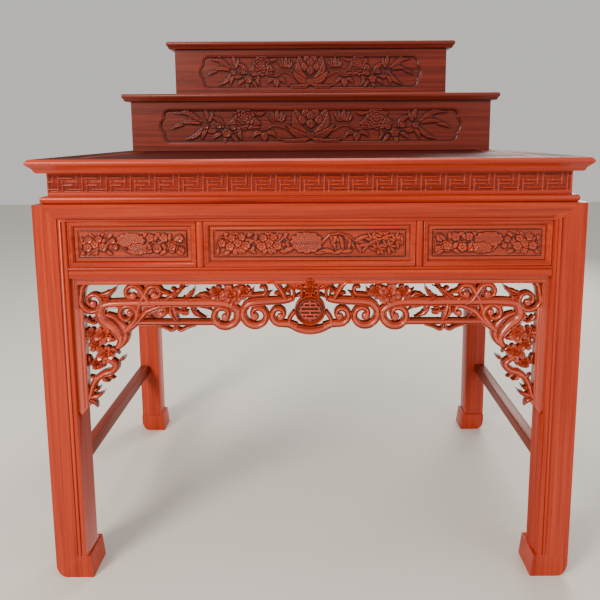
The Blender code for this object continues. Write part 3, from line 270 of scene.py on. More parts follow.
def buildFrontRail(node, otherEdge):
    bm = weldedCopy(node)
    below, rounding = railBeads[node]
    places = [(frontY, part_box(node)[1].z - below), (frontY, otherEdge)]
    roundEdges(bm, longEdges(bm, 0, places), rounding, beadSegments)
    newPiece(node + "_wood", bm, [node], woodFor(node, "x"))


def darkenTop(piece):
    # the flat top of a member takes the dark colour of the panel that it frames, a painted reflection of the
    # dark room that the lacquered top mirrors at a low view
    mesh = piece.data
    mesh.materials.append(woodFor("top_panel", "x"))
    height = max(vertex.co.z for vertex in mesh.vertices) - 0.5 * mm
    level = math.cos(math.radians(14))
    for face in mesh.polygons:
        if face.normal.z > level and face.center.z > height:
            face.material_index = 1


# plain members by the direction of their grain, and the rounding of their edges with its segments
plainMembers = {
    "x": ["back_top_rail", "back_lower_rail", "back_panel", "apron_back",
          "lower_step_back", "lower_step_top", "upper_step_back", "upper_step_top",
          "top_frame_front", "top_frame_back", "top_panel",
          "waist_back", "waist_moulding_front", "waist_moulding_back"],
    "y": [name + hand for name in ("top_frame", "waist", "waist_moulding") for hand in ("_left", "_right")]
         + [name + hand for hand in ("_left", "_right")
            for name in ("side_top_rail", "side_lower_rail", "side_panel", "side_stretcher",
                         "apron_side", "lower_step", "upper_step")],
    "z": ["leg_back_left", "leg_back_right", "panel_divider_left", "panel_divider_right"],
}
easedEdge = (1.2 * mm, 2)
roundedEdges = {"top_frame": (2.6 * mm, 3), "waist_moulding": (3.4 * mm, 3),
                "lower_step_top": (2.4 * mm, 3), "upper_step_top": (2.4 * mm, 3)}


def buildPlainMembers():
    for along, names in plainMembers.items():
        for node in names:
            found = [edge for start, edge in roundedEdges.items() if node.startswith(start)]
            piece = softenedNode(node, along, *(found[0] if found else easedEdge))
            if node.startswith("top_frame"):
                darkenTop(piece)


buildFrontLeg("leg_front_left", -1)
buildFrontLeg("leg_front_right", 1)
buildFrontRail("front_top_rail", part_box("front_top_rail")[0].z)
buildFrontRail("front_lower_rail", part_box("front_lower_rail")[1].z)
buildPlainMembers()
print("legs, rails and boards finished")


panelFrame = {
    "setBack": 1.5 * mm,
    "moulding": (  # width and rise of each strip, from the outer edge inwards, in millimetres
        (0.6, 0.9), (1.0, 0.6), (1.6, 0.0), (1.0, -0.6), (0.6, -1.2), (0.8, -0.8), (0.8, 0.4),
        (2.6, -0.8), (2.6, -2.4), (1.6, -3.2), (1.4, -0.2),
    ),
}


def buildPanelFrame(node):
    low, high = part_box(node)
    bm = bmesh.new()
    bmesh.ops.create_cube(bm, size=1.0)
    low.y += panelFrame["setBack"]
    bmesh.ops.scale(bm, vec=high - low, verts=bm.verts)
    bmesh.ops.translate(bm, vec=(high + low) / 2, verts=bm.verts)
    back = max(bm.faces, key=lambda face: face.calc_center_median().y)
    middle = min(bm.faces, key=lambda face: face.calc_center_median().y)
    for width, rise in panelFrame["moulding"]:
        bmesh.ops.inset_region(bm, faces=[middle], thickness=width * mm, depth=rise * mm,
                               use_even_offset=True)
    inner = bmesh.ops.extrude_face_region(bm, geom=[middle])["geom"]
    for vertex in vertsOf(inner):
        vertex.co.y = high.y
    innerFace = [item for item in inner if isinstance(item, bmesh.types.BMFace)]
    bmesh.ops.delete(bm, geom=[middle] if middle.is_valid else [], context="FACES_ONLY")
    bmesh.ops.delete(bm, geom=innerFace + [back], context="FACES_ONLY")
    bmesh.ops.bridge_loops(bm, edges=rimOf(bm))
    newPiece(node + "_wood", bm, [node], woodFor(node, "x"), 50)


for where in ("left", "centre", "right"):
    buildPanelFrame("panel_frame_" + where)
print("panel frames finished")


# Low relief is carved as heights on a fine grid, with places and heights in millimetres.
overlapCut = 0.7  # how deep the groove round a form is cut into what lies under it


def ridge(distance, width):
    return np.exp(-((distance / width) ** 2))


def domed(share):
    # round in section: full in the middle and nothing where the share is 1
    return np.sqrt(np.clip(1 - share ** 2, 0, 1))


def blurred(field, reach):
    # a box blur, twice, along both directions
    for axis in (0, 1, 0, 1):
        count = 2 * reach + 1
        padding = [(reach, reach) if index == axis else (0, 0) for index in (0, 1)]
        total = np.cumsum(np.pad(field, padding, mode="edge"), axis=axis)
        total = np.insert(total, 0, 0.0, axis=axis)
        size = field.shape[axis]
        upTo = np.take(total, np.arange(count, count + size), axis)
        field = (upTo - np.take(total, np.arange(size), axis)) / count
    return field


def smoothStep(value, start, end):
    share = np.clip((value - start) / (end - start), 0, 1)
    return share * share * (3 - 2 * share)


def canvasFor(low, high, cell):
    # places in millimetres from the board's middle
    columns, rows = round((high.x - low.x) / cell), round((high.z - low.z) / cell)
    x = np.linspace(low.x - high.x, high.x - low.x, columns + 1) / 2 / mm
    z = np.linspace(low.z - high.z, high.z - low.z, rows + 1) / 2 / mm
    gridX, gridZ = np.meshgrid(x, z)
    return {"x": gridX, "z": gridZ, "height": np.zeros_like(gridX), "cell": cell / mm}


def lay(canvas, window, height, cut=0.0):
    # the higher surface wins; a form with a cut lies over the others and has a groove round it
    under = canvas["height"][window]
    if under.size and cut:
        near = blurred((height > 0.05).astype(float), 1)
        under = np.where(height > 0.05, 0.0, under * (1 - cut * smoothStep(near, 0.0, 0.4)))
    canvas["height"][window] = np.maximum(under, height)


def windowAt(canvas, x, z, reach):
    columns, rows = canvas["x"][0], canvas["z"][:, 0]
    left, right = np.searchsorted(columns, (x - reach, x + reach))
    low, high = np.searchsorted(rows, (z - reach, z + reach))
    return slice(low, high), slice(left, right)


def carveBlossom(canvas, x, z, radius, petals, turn, rings=1):
    # cupped petals round a dotted heart; more rings make a peony
    window = windowAt(canvas, x, z, radius * 1.05)
    dx, dz = canvas["x"][window] - x, canvas["z"][window] - z
    angle = np.arctan2(dz, dx)
    distance = np.hypot(dx, dz)
    for ring in range(rings):
        reach = radius * (1 - 0.28 * ring)
        level = 0.70 + 0.30 * (ring + 1) / rings
        wave = np.abs(np.cos((angle - turn - ring * math.pi / petals) * petals / 2))
        edge = reach * (0.74 + 0.26 * wave ** 0.5)
        share = distance / edge
        crease = ridge(wave, 0.22) * smoothStep(share, 0.2, 0.6)
        cup = 0.62 + 0.38 * smoothStep(share, 0.25, 0.85) - 0.42 * crease
        vein = 0.05 * np.cos((angle - turn) * petals * 4) * smoothStep(share, 0.3, 0.6)
        lay(canvas, window, level * (cup + vein) * (1 - smoothStep(share, 0.93, 1.0)), overlapCut)
    heart = radius * (0.26 if rings == 1 else 0.18)
    dots = 0.5 + 0.5 * np.cos(dx * 5.0 / heart) * np.cos(dz * 5.0 / heart)
    lay(canvas, window, (0.80 * domed(distance / heart) + 0.22 * dots) * (distance < heart))


def carveLeaf(canvas, x, z, turn, length, width, bend=0.0, top=0.8):
    # a leaf from its base, turned in degrees, with a middle vein and a bent back
    window = windowAt(canvas, x, z, length * 1.1 + width)
    angle = math.radians(turn)
    dx, dz = canvas["x"][window] - x, canvas["z"][window] - z
    along = (dx * math.cos(angle) + dz * math.sin(angle)) / length
    inside = np.clip(along, 0, 1)
    across = (dz * math.cos(angle) - dx * math.sin(angle)) - bend * length * np.sin(math.pi * inside)
    half = width / 2 * np.sin(math.pi * inside ** 0.75) ** 0.85 + 1e-6
    share = np.abs(across) / half
    middleVein = 0.30 * ridge(across, 0.06 * width + 0.25) * smoothStep(along, 0.02, 0.2)
    sideVeins = 0.05 * np.cos(along * 42 - share * 5)
    shape = (0.55 + 0.45 * domed(share) - middleVein + sideVeins) * (1 - smoothStep(share, 0.90, 1.0))
    lay(canvas, window, top * shape * ((along > 0) & (along < 1) & (share < 1)), overlapCut)


def carveStem(canvas, points, width, top=0.7):
    # a round twig through the points, thinner towards its end
    x, z = canvas["x"], canvas["z"]
    for index, ((x0, z0), (x1, z1)) in enumerate(zip(points, points[1:])):
        radius = width / 2 * (1 - 0.5 * index / len(points))
        reach = math.hypot(x1 - x0, z1 - z0) / 2 + radius * 1.2
        window = windowAt(canvas, (x0 + x1) / 2, (z0 + z1) / 2, reach)
        dx, dz = x[window] - x0, z[window] - z0
        run = Vector((x1 - x0, z1 - z0))
        share = np.clip((dx * run.x + dz * run.y) / max(run.length_squared, 1e-9), 0, 1)
        distance = np.hypot(dx - share * run.x, dz - share * run.y)
        lay(canvas, window, top * domed(distance / radius))


def carveRock(canvas, x, z, width, height, lobes, top=0.85):
    # a rounded mass with a scalloped edge, cross-hatched
    window = windowAt(canvas, x, z, max(width, height))
    dx, dz = (canvas["x"][window] - x) / width, (canvas["z"][window] - z) / height
    angle = np.arctan2(dz, dx)
    share = np.hypot(dx, dz) * 2 / (0.86 + 0.14 * np.abs(np.cos(angle * lobes / 2)))
    hatch = 0.18 * (np.sin((dx * width + dz * height) * 0.9) + np.sin((dx * width - dz * height) * 0.9))
    rim = 0.20 * ridge(share - 0.9, 0.07)
    body = 0.62 + 0.30 * domed(share) + hatch * (share < 0.82) + rim
    lay(canvas, window, top * body * (1 - smoothStep(share, 0.96, 1.0)) * (share < 1), overlapCut)


# the darkening of each point, as painted shade and gathered stain, kept on the mesh
def paintShadeAndStain(mesh, values):
    shade = mesh.attributes.new("shadeAndStain", "FLOAT", "POINT")
    shade.data.foreach_set("value", values)


def reliefBoard(node, outward, shadeAndStain, backY, mitre=0.0):
    # The board's front is the grid, and outward is its distance in millimetres before y = 0. Mitre draws the
    # back in at both ends.
    low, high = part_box(node)
    rows, columns = outward.shape
    bm = bmesh.new()
    size = Matrix.Diagonal((high.x - low.x, 1.0, high.z - low.z, 1.0))
    centre = Matrix.Translation(((high.x + low.x) / 2, 0.0, (high.z + low.z) / 2))
    upright = Matrix.Rotation(math.pi / 2, 4, "X")
    bmesh.ops.create_grid(bm, x_segments=columns - 1, y_segments=rows - 1, size=0.5,
                          matrix=centre @ size @ upright)
    bm.verts.ensure_lookup_table()
    for vertex, out in zip(bm.verts, outward.ravel()):
        vertex.co.y = -out * mm
    sides = bmesh.ops.extrude_edge_only(bm, edges=rimOf(bm))["geom"]
    middle, reach = (high.x + low.x) / 2, (high.x - low.x) / 2 - mitre
    for vertex in vertsOf(sides):
        vertex.co.y = backY
        vertex.co.x = middle + max(-reach, min(reach, vertex.co.x - middle))
    bmesh.ops.holes_fill(bm, edges=rimOf(bm), sides=0)
    bmesh.ops.recalc_face_normals(bm, faces=bm.faces)
    mesh = meshFrom(node + "_wood", bm)
    values = np.zeros(len(mesh.vertices), np.float32)
    values[:shadeAndStain.size] = shadeAndStain.ravel()
    paintShadeAndStain(mesh, values)
    finishMesh(node + "_wood", mesh, [node], woodFor(node, "x", True), 60)


def hollowOf(canvas, height, reach, strength):
    # how far a place lies below its surroundings, which sets its painted shade and gathered stain
    below = blurred(height, max(1, round(reach / canvas["cell"]))) - height
    return np.clip(below * strength, 0, 1)


friezeCarving = {"cell": 1.2 * mm, "margin": 12.5, "plaque": 3.0, "relief": 5.0, "borderGroove": 3.4,
                 "grooveDepth": 1.1, "boardDepth": 14 * mm}


def between(p, q, r, s, t):
    # the soft curve's value at t from q to r, with p before them and s after them
    return q + ((r - p) * t + (2 * p - 5 * q + 4 * r - s) * t ** 2 + (3 * q - p - 3 * r + s) * t ** 3) / 2


def smoothPath(points, steps):
    # a soft curve through every point, its width along with it
    if len(points) < 3:
        return [tuple(a + (b - a) * step / steps for a, b in zip(*points)) for step in range(steps + 1)]
    ends = [points[0], *points, points[-1]]
    path = []
    for four in zip(ends, ends[1:], ends[2:], ends[3:]):
        for step in range(steps):
            path.append(tuple(between(*values, step / steps) for values in zip(*four)))
    return path + [tuple(points[-1])]


def blossomCluster(canvas, x, z, spread, size, seed):
    # flowers of several sizes over a wreath of leaves
    rng = np.random.default_rng(seed)
    leaves = 13
    for index in range(leaves):
        turn = 360 * index / leaves + rng.uniform(-18, 18)
        baseX = x + spread * 0.6 * math.cos(math.radians(turn))
        baseZ = z + spread * 0.4 * math.sin(math.radians(turn))
        carveLeaf(canvas, baseX, baseZ, turn, size * rng.uniform(1.3, 1.9), size * 0.8,
                  rng.uniform(-0.12, 0.12), 0.66)
    for dx, dz, share in ((0.0, 0.1, 1.0), (-1.0, -0.55, 0.72), (1.05, -0.45, 0.7), (0.55, 1.05, 0.58),
                          (-0.75, 0.9, 0.6)):
        carveBlossom(canvas, x + dx * spread, z + dz * spread * 0.75, size * share, 5, rng.uniform(0, 6),
                     2 if share > 0.9 else 1)


def carveSidePanel(canvas, side):
    # flowers and leaves at both ends, a hatched rock in the middle, a flowering branch between
    def stem(width, top, *points):
        carveStem(canvas, [(side * x, z) for x, z in points], width, top)

    def leaves(length, *places):
        for x, z, turn in places:
            carveLeaf(canvas, side * x, z, turn if side > 0 else 180 - turn, length, 11)

    blossomCluster(canvas, side * -106, -1, 21, 18, 3)
    leaves(20, (-140, 8, 120), (-142, -6, 200), (-138, -20, 240), (-70, 18, 40), (-74, -20, -30),
           (-86, 24, 70))
    stem(5.0, 0.7, (-82, -12), (-62, 10), (-44, 0), (-26, 20))
    carveBlossom(canvas, side * -56, 10, 9, 5, 0.2)
    carveBlossom(canvas, side * -48, -8, 8, 5, 0.9)
    carveRock(canvas, side * -4, 11, 84, 44, 11)
    carveRock(canvas, side * 16, -14, 62, 34, 9, 0.72)
    stem(4.4, 1.0, (6, -6), (26, -10), (32, -20), (20, -27), (6, -24), (8, -15), (18, -16))
    stem(4.0, 0.9, (-28, -6), (-16, -20), (-2, -26))
    stem(5.0, 0.7, (30, -18), (48, 12), (72, 0), (98, 14), (132, -2))
    for x, z, size in ((52, 18, 12), (70, -12, 14), (90, 18, 13), (112, -8, 18), (134, 16, 12),
                       (138, -18, 11), (48, -16, 10)):
        carveBlossom(canvas, side * x, z, size, 5, x * 0.3, 2 if size > 15 else 1)
    leaves(24, (44, 2, -70), (62, 10, 60), (84, 2, -60), (104, 10, 80), (118, 8, 40), (96, -18, 210),
           (124, -20, -30), (146, 0, 60), (34, 20, 70), (78, 20, 120))


def carveCentrePanel(canvas):
    # peonies on the left, a scalloped lotus leaf in the middle, an arching stem with bamboo on the right
    def leaves(length, width, *places):
        for x, z, turn in places:
            carveLeaf(canvas, x, z, turn, length, width)

    blossomCluster(canvas, -204, 2, 22, 19, 5)
    carveStem(canvas, [(-258, -14), (-262, 4), (-250, 20), (-232, 14), (-236, 2)], 4.4, 0.9)
    carveBlossom(canvas, -248, 2, 12, 5, 0.4)
    leaves(24, 11, (-258, -14, 250), (-240, 20, 60), (-226, -22, 210), (-176, 20, 40), (-172, -16, -30))
    blossomCluster(canvas, -114, 2, 22, 19, 8)
    carveStem(canvas, [(-182, -10), (-158, 10), (-138, -8)], 5.0)
    carveStem(canvas, [(-92, 0), (-72, 18), (-56, 4), (-34, 10)], 5.0)
    leaves(22, 10, (-154, 8, 80), (-158, -6, 250), (-72, 16, 60), (-66, 8, -70), (-84, -20, -20))
    carveRock(canvas, -8, 3, 96, 64, 12, 0.9)
    carveStem(canvas, [(-40, 12), (-22, 16), (-10, 4), (-18, -8)], 3.6, 1.0)
    carveLeaf(canvas, -46, -12, 200, 32, 12)
    carveLeaf(canvas, 26, -24, -6, 52, 12, 0.1)
    carveLeaf(canvas, 14, -28, 4, 34, 9)
    carveStem(canvas, [(34, 2), (56, 24), (84, 29), (112, 20), (136, 0), (152, -24)], 5.4)
    for x, z, turn, length in ((58, 22, -70, 44), (64, 22, -40, 46), (84, 24, -78, 50), (98, 22, -52, 52),
                               (114, 16, -100, 38), (76, 22, -120, 34), (122, 10, -20, 52), (128, 6, 22, 46),
                               (132, -2, -62, 28), (138, -8, 6, 50), (96, -18, 200, 36), (120, -20, 185, 34)):
        carveLeaf(canvas, x, z, turn, length, 10, 0.05)
    for x, z in ((180, 10), (208, 20), (222, -10), (192, -18), (246, 8)):
        for turn in (165, 125, 80, 40, 0, -40, -85):
            carveLeaf(canvas, x, z, turn, 27, 8, 0.06, 0.85)
    carveStem(canvas, [(150, -22), (178, 6), (208, 16), (236, 26), (262, 20)], 3.6)
    carveLeaf(canvas, 258, 20, -70, 34, 10)


def buildFriezePanel(node, carve):
    size = friezeCarving
    low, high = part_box(node)
    canvas = canvasFor(low, high, size["cell"])
    carve(canvas)
    fromEnds = canvas["x"].max() - np.abs(canvas["x"])
    fromEdges = canvas["z"].max() - np.abs(canvas["z"])
    inward = np.minimum(fromEnds, fromEdges) - size["margin"]
    plaque = smoothStep(inward, -0.9, 0.9)
    groove = ridge(inward - size["borderGroove"], 0.9) + 0.8 * ridge(inward + 2.2, 1.3)
    field = smoothStep(inward, size["borderGroove"], size["borderGroove"] + 3)
    stipple = 0.12 * np.sin(canvas["x"] * 1.9) * np.sin(canvas["z"] * 2.1)
    relief = canvas["height"] * field * size["relief"]
    ground = plaque * size["plaque"] - groove * size["grooveDepth"]
    height = ground - field * (0.5 + stipple * (relief <= 0)) + relief
    # The sunk ground and the grooves are darkened, and so is every hollow: painted shade and gathered stain.
    sunkShadeAndStain = 0.10 * field * (relief <= 0.2) + 0.55 * np.clip(groove, 0, 1)
    shadeAndStain = np.clip(hollowOf(canvas, height, 3.6, 0.95) + sunkShadeAndStain, 0, 0.9)
    front = high.y - size["boardDepth"]
    reliefBoard(node, height - front / mm, shadeAndStain, high.y)


buildFriezePanel("carved_panel_left", lambda canvas: carveSidePanel(canvas, 1))
buildFriezePanel("carved_panel_centre", carveCentrePanel)
buildFriezePanel("carved_panel_right", lambda canvas: carveSidePanel(canvas, -1))
print("frieze panels carved")


stepCarving = {"cell": 1.75 * mm, "tall": 137.0, "sink": 4.0, "slope": 9.0, "relief": 4.6,
               "lengths": {"lower_step_front": 1218, "upper_step_front": 926}}


def cartoucheDistance(canvas, length, tall):
    # distance inwards from the border: a long field, with a large lobe between two small ones at each end
    x, z = np.abs(canvas["x"]), np.abs(canvas["z"])
    small, large = tall * 0.22, tall * 0.30
    half = length / 2
    corner = half - large * 0.85 - small * 0.3
    body = np.minimum(tall / 2 - z, corner - x)
    lobeLarge = large - np.hypot(x - (half - large), z)
    lobeSmall = small - np.hypot(x - corner, z - (tall / 2 - small))
    fill = np.minimum(tall / 2 - small - z, corner + small - x)
    return np.maximum.reduce([body, lobeLarge, lobeSmall, fill])


# Leaves and petals of one half as (x, z, turn, length, width, bend), from the back ones to the front ones,
# in the drawing's own units from its middle; each step stretches the drawing to its own length.
stepDrawn = {"length": 1028.0, "tall": 116.0}
lotusPetals = (
    (14, 28, 84, 34, 30, 0.0), (40, 22, 68, 36, 26, 0.0), (0, 18, 90, 34, 30, 0.0), (26, 4, 80, 34, 28, 0.0),
    (0, -8, 90, 32, 30, 0.0), (4, -38, 58, 102, 34, -0.18), (4, -38, 30, 92, 27, -0.12),
    (2, -40, -1, 108, 22, -0.13),
)
sprigs = (
    (113, 18, 38, 36, 15, -0.22), (113, 18, 142, 36, 15, 0.22), (113, 16, 62, 38, 17, -0.08),
    (113, 16, 118, 38, 17, 0.08), (113, 16, 90, 38, 18, 0.0), (152, -24, 205, 40, 16, -0.22),
    (162, -24, -25, 40, 16, 0.22), (157, -22, 270, 32, 24, 0.0), (188, 42, 168, 38, 15, 0.12),
    (205, 6, 200, 36, 18, 0.0), (262, 4, 160, 30, 16, 0.0), (238, -14, 262, 34, 13, 0.2),
    (268, -30, 230, 32, 14, 0.0), (296, -6, 42, 58, 19, 0.16), (304, -26, -30, 36, 15, 0.1),
    (290, -36, 280, 24, 14, 0.0), (318, -14, 6, 44, 15, -0.12), (346, 14, 112, 40, 17, 0.0),
    (352, 22, 78, 38, 16, 0.1), (366, 16, 44, 78, 18, -0.2), (372, 14, 18, 96, 18, 0.16),
    (372, 8, 0, 78, 16, 0.1), (364, -2, -34, 76, 16, -0.12), (350, -8, -62, 44, 14, 0.1),
    (430, 6, -20, 46, 13, 0.1),
)
stepStem = ((66, -20), (96, -5), (124, 0), (157, -12), (192, -10), (232, -10), (262, -22), (300, -16),
            (340, -8), (368, 12))
peonyPlace = (224, 24)
peonyPetals = (  # turn, length and width of the petals behind the flower
    (198, 60, 34), (-18, 60, 34), (150, 46, 30), (30, 46, 30), (232, 44, 36), (308, 44, 36), (270, 40, 36),
)
stepBlossoms = (  # place, radius, petals and rings
    (224, 28, 36, 7, 3), (286, -24, 16, 5, 1), (312, 2, 11, 5, 1), (262, -4, 11, 5, 1), (356, 0, 11, 5, 1),
)


def carveStep(canvas, length):
    across, up = length / stepDrawn["length"], stepCarving["tall"] / stepDrawn["tall"]
    even = math.sqrt(across * up)
    for side in (-1, 1):
        def leaf(x, z, turn, reach, width, bend, top=0.8):
            angle = math.radians(turn)
            run = Vector((side * across * reach * math.cos(angle), up * reach * math.sin(angle)))
            carveLeaf(canvas, side * x * across, z * up, math.degrees(math.atan2(run.y, run.x)), run.length,
                      width * even, bend * side, top)

        soft = smoothPath([(side * x * across, z * up, 1) for x, z in stepStem], 5)
        carveStem(canvas, [(x, z) for x, z, _ in soft], 5.6, 0.62)
        for sprig in sprigs:
            leaf(*sprig)
        for turn, reach, width in peonyPetals:
            leaf(*peonyPlace, turn, reach, width, 0.0, 0.86)
        for x, z, radius, petals, rings in stepBlossoms:
            carveBlossom(canvas, side * x * across, z * up, radius * even, petals, 0.4, rings)
        for petal in lotusPetals:
            leaf(*petal, top=0.95)
    carveRock(canvas, 0, -32 * up, 32 * even, 26 * up, 2, 1.0)  # the boss under the lotus


def buildStepFront(node, length):
    size = stepCarving
    low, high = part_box(node)
    canvas = canvasFor(low, high, size["cell"])
    carveStep(canvas, length)
    inward = cartoucheDistance(canvas, length, size["tall"])
    field = smoothStep(inward, 0.0, size["slope"])
    border = ridge(inward - 1.0, 1.3) + 0.5 * ridge(inward - size["slope"], 1.2)
    relief = canvas["height"] * smoothStep(inward, 3.0, 7.0) * size["relief"]
    height = -field * size["sink"] + relief - border * 1.2
    height = np.minimum(height, -0.05 * (inward > 0))
    # Hollows, the sunk field and the border's grooves are darkened: painted shade and gathered stain.
    shadeAndStain = hollowOf(canvas, height, 6.0, 0.8) + 0.08 * field * (relief <= 0.2) + 0.45 * border
    reliefBoard(node, height - low.y / mm, np.clip(shadeAndStain, 0, 0.9), high.y)


for step, cartoucheLength in stepCarving["lengths"].items():
    buildStepFront(step, cartoucheLength)
print("steps carved")


# The key fret's band runs to within a few millimetres of the board's ends, in units of 67 drawn millimetres.
# The last value is how far the sunk ground is darkened, as painted shade and gathered stain.
keyFret = {"cell": 1.3 * mm, "drawn": 67.0, "top": 1224 * mm, "count": 21.5, "firstCrank": 0.37,
           "margin": 5.0, "band": (0.5, 48.5), "border": (-2.0, 51.0), "borderGap": 3, "sink": 2.8,
           "borderSink": 0.7, "sunkShadeAndStain": 0.46}
fretBars = (  # left, right, top and bottom of one unit's bars, from its crank and the band's top
    (-2.2, 2.2, 0.0, 49.0), (-2.2, 41.0, 6.7, 11.1), (-41.0, 2.2, 38.8, 43.2),
    (10.0, 14.4, 16.6, 49.0), (10.0, 41.0, 27.8, 32.2), (49.8, 54.2, 0.0, 32.2), (24.4, 54.2, 17.8, 22.2),
)


def buildWaistFront():
    low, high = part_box("waist_front")
    canvas = canvasFor(low, high, keyFret["cell"])
    x = canvas["x"]
    down = (keyFret["top"] - (low.z + high.z) / 2) / mm - canvas["z"]
    middle = (low.x + high.x) / 2 / mm
    ends = (high.x - low.x) / 2 / mm - keyFret["margin"]
    pitch = 2 * ends / keyFret["count"]
    stretch = pitch / keyFret["drawn"]
    bars = np.zeros_like(down)
    for unit in range(-1, math.ceil(keyFret["count"]) + 1):
        start = -ends + pitch * (unit + keyFret["firstCrank"]) - middle
        for left, right, top, bottom in fretBars:
            fromSides = np.minimum(x - start - left * stretch, start + right * stretch - x)
            inside = np.minimum(fromSides, np.minimum(down - top, bottom - down))
            bars = np.maximum(bars, smoothStep(inside, -0.7, 0.9))

    def inwards(span, end):
        # distance inwards from the outline of a field, which spans these heights
        return np.minimum(np.minimum(down - span[0], span[1] - down), end - np.abs(x))

    ground = smoothStep(inwards(keyFret["band"], ends), -0.8, 0.8) * (1 - bars)
    border = ridge(inwards(keyFret["border"], ends + keyFret["borderGap"]), 0.9)
    height = -keyFret["sink"] * ground - keyFret["borderSink"] * border
    # the sunk ground between the bars and the hollows are darkened: painted shade and gathered stain
    shadeAndStain = np.clip(keyFret["sunkShadeAndStain"] * ground + hollowOf(canvas, height, 3.0, 0.25), 0, 0.85)
    reliefBoard("waist_front", height - low.y / mm, shadeAndStain, high.y, high.y - low.y)


buildWaistFront()
print("key fret finished")


# The apron is scrolls, leaves and flowers between the legs, drawn in millimetres at the drawing's own size.
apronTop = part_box("apron_centre")[1].z
apronFront, apronBack = -471 * mm, -444 * mm  # the planes that a strand of full depth lies between
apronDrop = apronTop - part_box("apron_bracket_left")[0].z
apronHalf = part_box("apron_centre")[1].x
apronDrawn = {"half": 683.0, "drop": 415.0}
# Strands are fuller than they are drawn. From these widths and radii they are grooved and end in a knob.
strandForm = {"swell": 1.40, "groovedFrom": 9.5, "knobFrom": 17}
leafBow = 0.14
legStrip = {"width": 34 * mm, "from": 60 * mm}  # the upright boards down the legs, and where they begin

# sections as (across, out), as shares of a strand's width and of its depth
sections = {
    "scroll": ((-0.50, 0.0), (-0.50, 0.52), (-0.47, 0.74), (-0.41, 0.82), (-0.35, 0.80), (-0.30, 0.72),
               (-0.24, 0.80), (-0.13, 0.96), (0.0, 1.0)),
    "bead": ((-0.50, 0.0), (-0.50, 0.55), (-0.40, 0.82), (-0.22, 0.96), (0.0, 1.0)),
    "leaf": ((-0.50, 0.0), (-0.50, 0.34), (-0.43, 0.62), (-0.28, 0.86), (-0.12, 0.92), (-0.05, 0.80),
             (0.0, 0.66)),
    "petal": ((-0.50, 0.0), (-0.50, 0.62), (-0.46, 0.88), (-0.38, 1.0), (-0.26, 0.93), (-0.12, 0.84),
              (0.0, 0.80)),
}
petalSpine = (  # along, width and depth of a petal, as shares
    (0.10, 0.40, 0.74), (0.30, 0.70, 0.82), (0.52, 0.95, 0.90), (0.70, 1.0, 0.97), (0.84, 0.90, 1.0),
    (0.94, 0.66, 0.97), (1.0, 0.30, 0.88),
)


def drawnPlace(out, down, side=1):
    return side * out / apronDrawn["half"] * apronHalf, apronTop - down / apronDrawn["drop"] * apronDrop


def blend(pair, share):
    return pair[0] + (pair[1] - pair[0]) * share


def spiralPath(centre, radii, degrees, widths):
    count = max(6, round(abs(degrees[1] - degrees[0]) / 13))
    path = []
    for index in range(count + 1):
        share = index / count
        angle, radius = math.radians(blend(degrees, share)), blend(radii, share)
        path.append((centre[0] + radius * math.cos(angle), centre[1] + radius * math.sin(angle),
                     blend(widths, share)))
    return path


def joinInto(bm, part):
    mesh = meshFrom("part", part)
    bm.from_mesh(mesh)
    bpy.data.meshes.remove(mesh)


def depthOf(share):
    # the front face of a strand that takes this share of the apron's depth
    return apronBack - (apronBack - apronFront) * share


def sweep(bm, path, section, share, lift=None):
    # a closed strand along (x, z, width) points; lift gives the share of its depth at each point
    half = list(sections[section])
    ring = half + [(-across, out) for across, out in reversed(half[:-1])] + [half[0]]
    strand = bmesh.new()
    grid = bmesh.ops.create_grid(strand, x_segments=len(ring) - 1, y_segments=len(path) - 1,
                                 size=0.5)["verts"]
    for step, (x, z, width) in enumerate(path):
        before, after = path[max(step - 1, 0)], path[min(step + 1, len(path) - 1)]
        run = Vector((after[0] - before[0], after[1] - before[1])).normalized()
        come = Vector((x - before[0], z - before[1]))
        mitre = max(0.75, run.dot(come.normalized())) if come.length > 1e-6 else 1.0
        depth = (apronBack - depthOf(share)) * (lift[step] if lift else 1.0)
        for place, (across, out) in enumerate(ring):
            shift = across * width / mitre
            point = (x - run.y * shift, apronBack - out * depth, z + run.x * shift)
            grid[step * len(ring) + place].co = point
    bmesh.ops.remove_doubles(strand, verts=strand.verts, dist=0.005 * mm)
    bmesh.ops.holes_fill(strand, edges=rimOf(strand), sides=0)
    joinInto(bm, strand)


def placed(path, side):
    scale = apronHalf / apronDrawn["half"]
    return [(*drawnPlace(out, down, side), width * scale) for out, down, width in path]


def addKnob(bm, centre, radius, share):
    depth = (apronBack - apronFront) * share
    size = Matrix.Diagonal((radius, depth * 0.5, radius, 1.0))
    place = Matrix.Translation((centre[0], apronBack - depth * 0.5, centre[1]))
    knob = bmesh.new()
    bmesh.ops.create_uvsphere(knob, u_segments=12, v_segments=8, radius=1.0, matrix=place @ size)
    joinInto(bm, knob)


def addStrand(bm, side, lead, turn, share):
    # a lead that may run into a spiral; a broad strand is grooved, and a large spiral ends in a knob
    path = smoothPath(lead, 6)
    if turn:
        spiral = spiralPath(*turn)
        path = path[:-1] + smoothPath([path[-1], spiral[0]], 3)[:-1] + spiral
    path = [(out, down, width * strandForm["swell"]) for out, down, width in path]
    section = "scroll" if max(width for _, _, width in path) > strandForm["groovedFrom"] else "bead"
    lift = [1.0 if index < len(path) - 3 or not turn else 0.97 for index in range(len(path))]
    sweep(bm, placed(path, side), section, share, lift)
    if turn and turn[1][0] > strandForm["knobFrom"]:
        out, down, width = path[-1]
        addKnob(bm, drawnPlace(out, down, side), width * 0.95 * mm, share * 0.98)


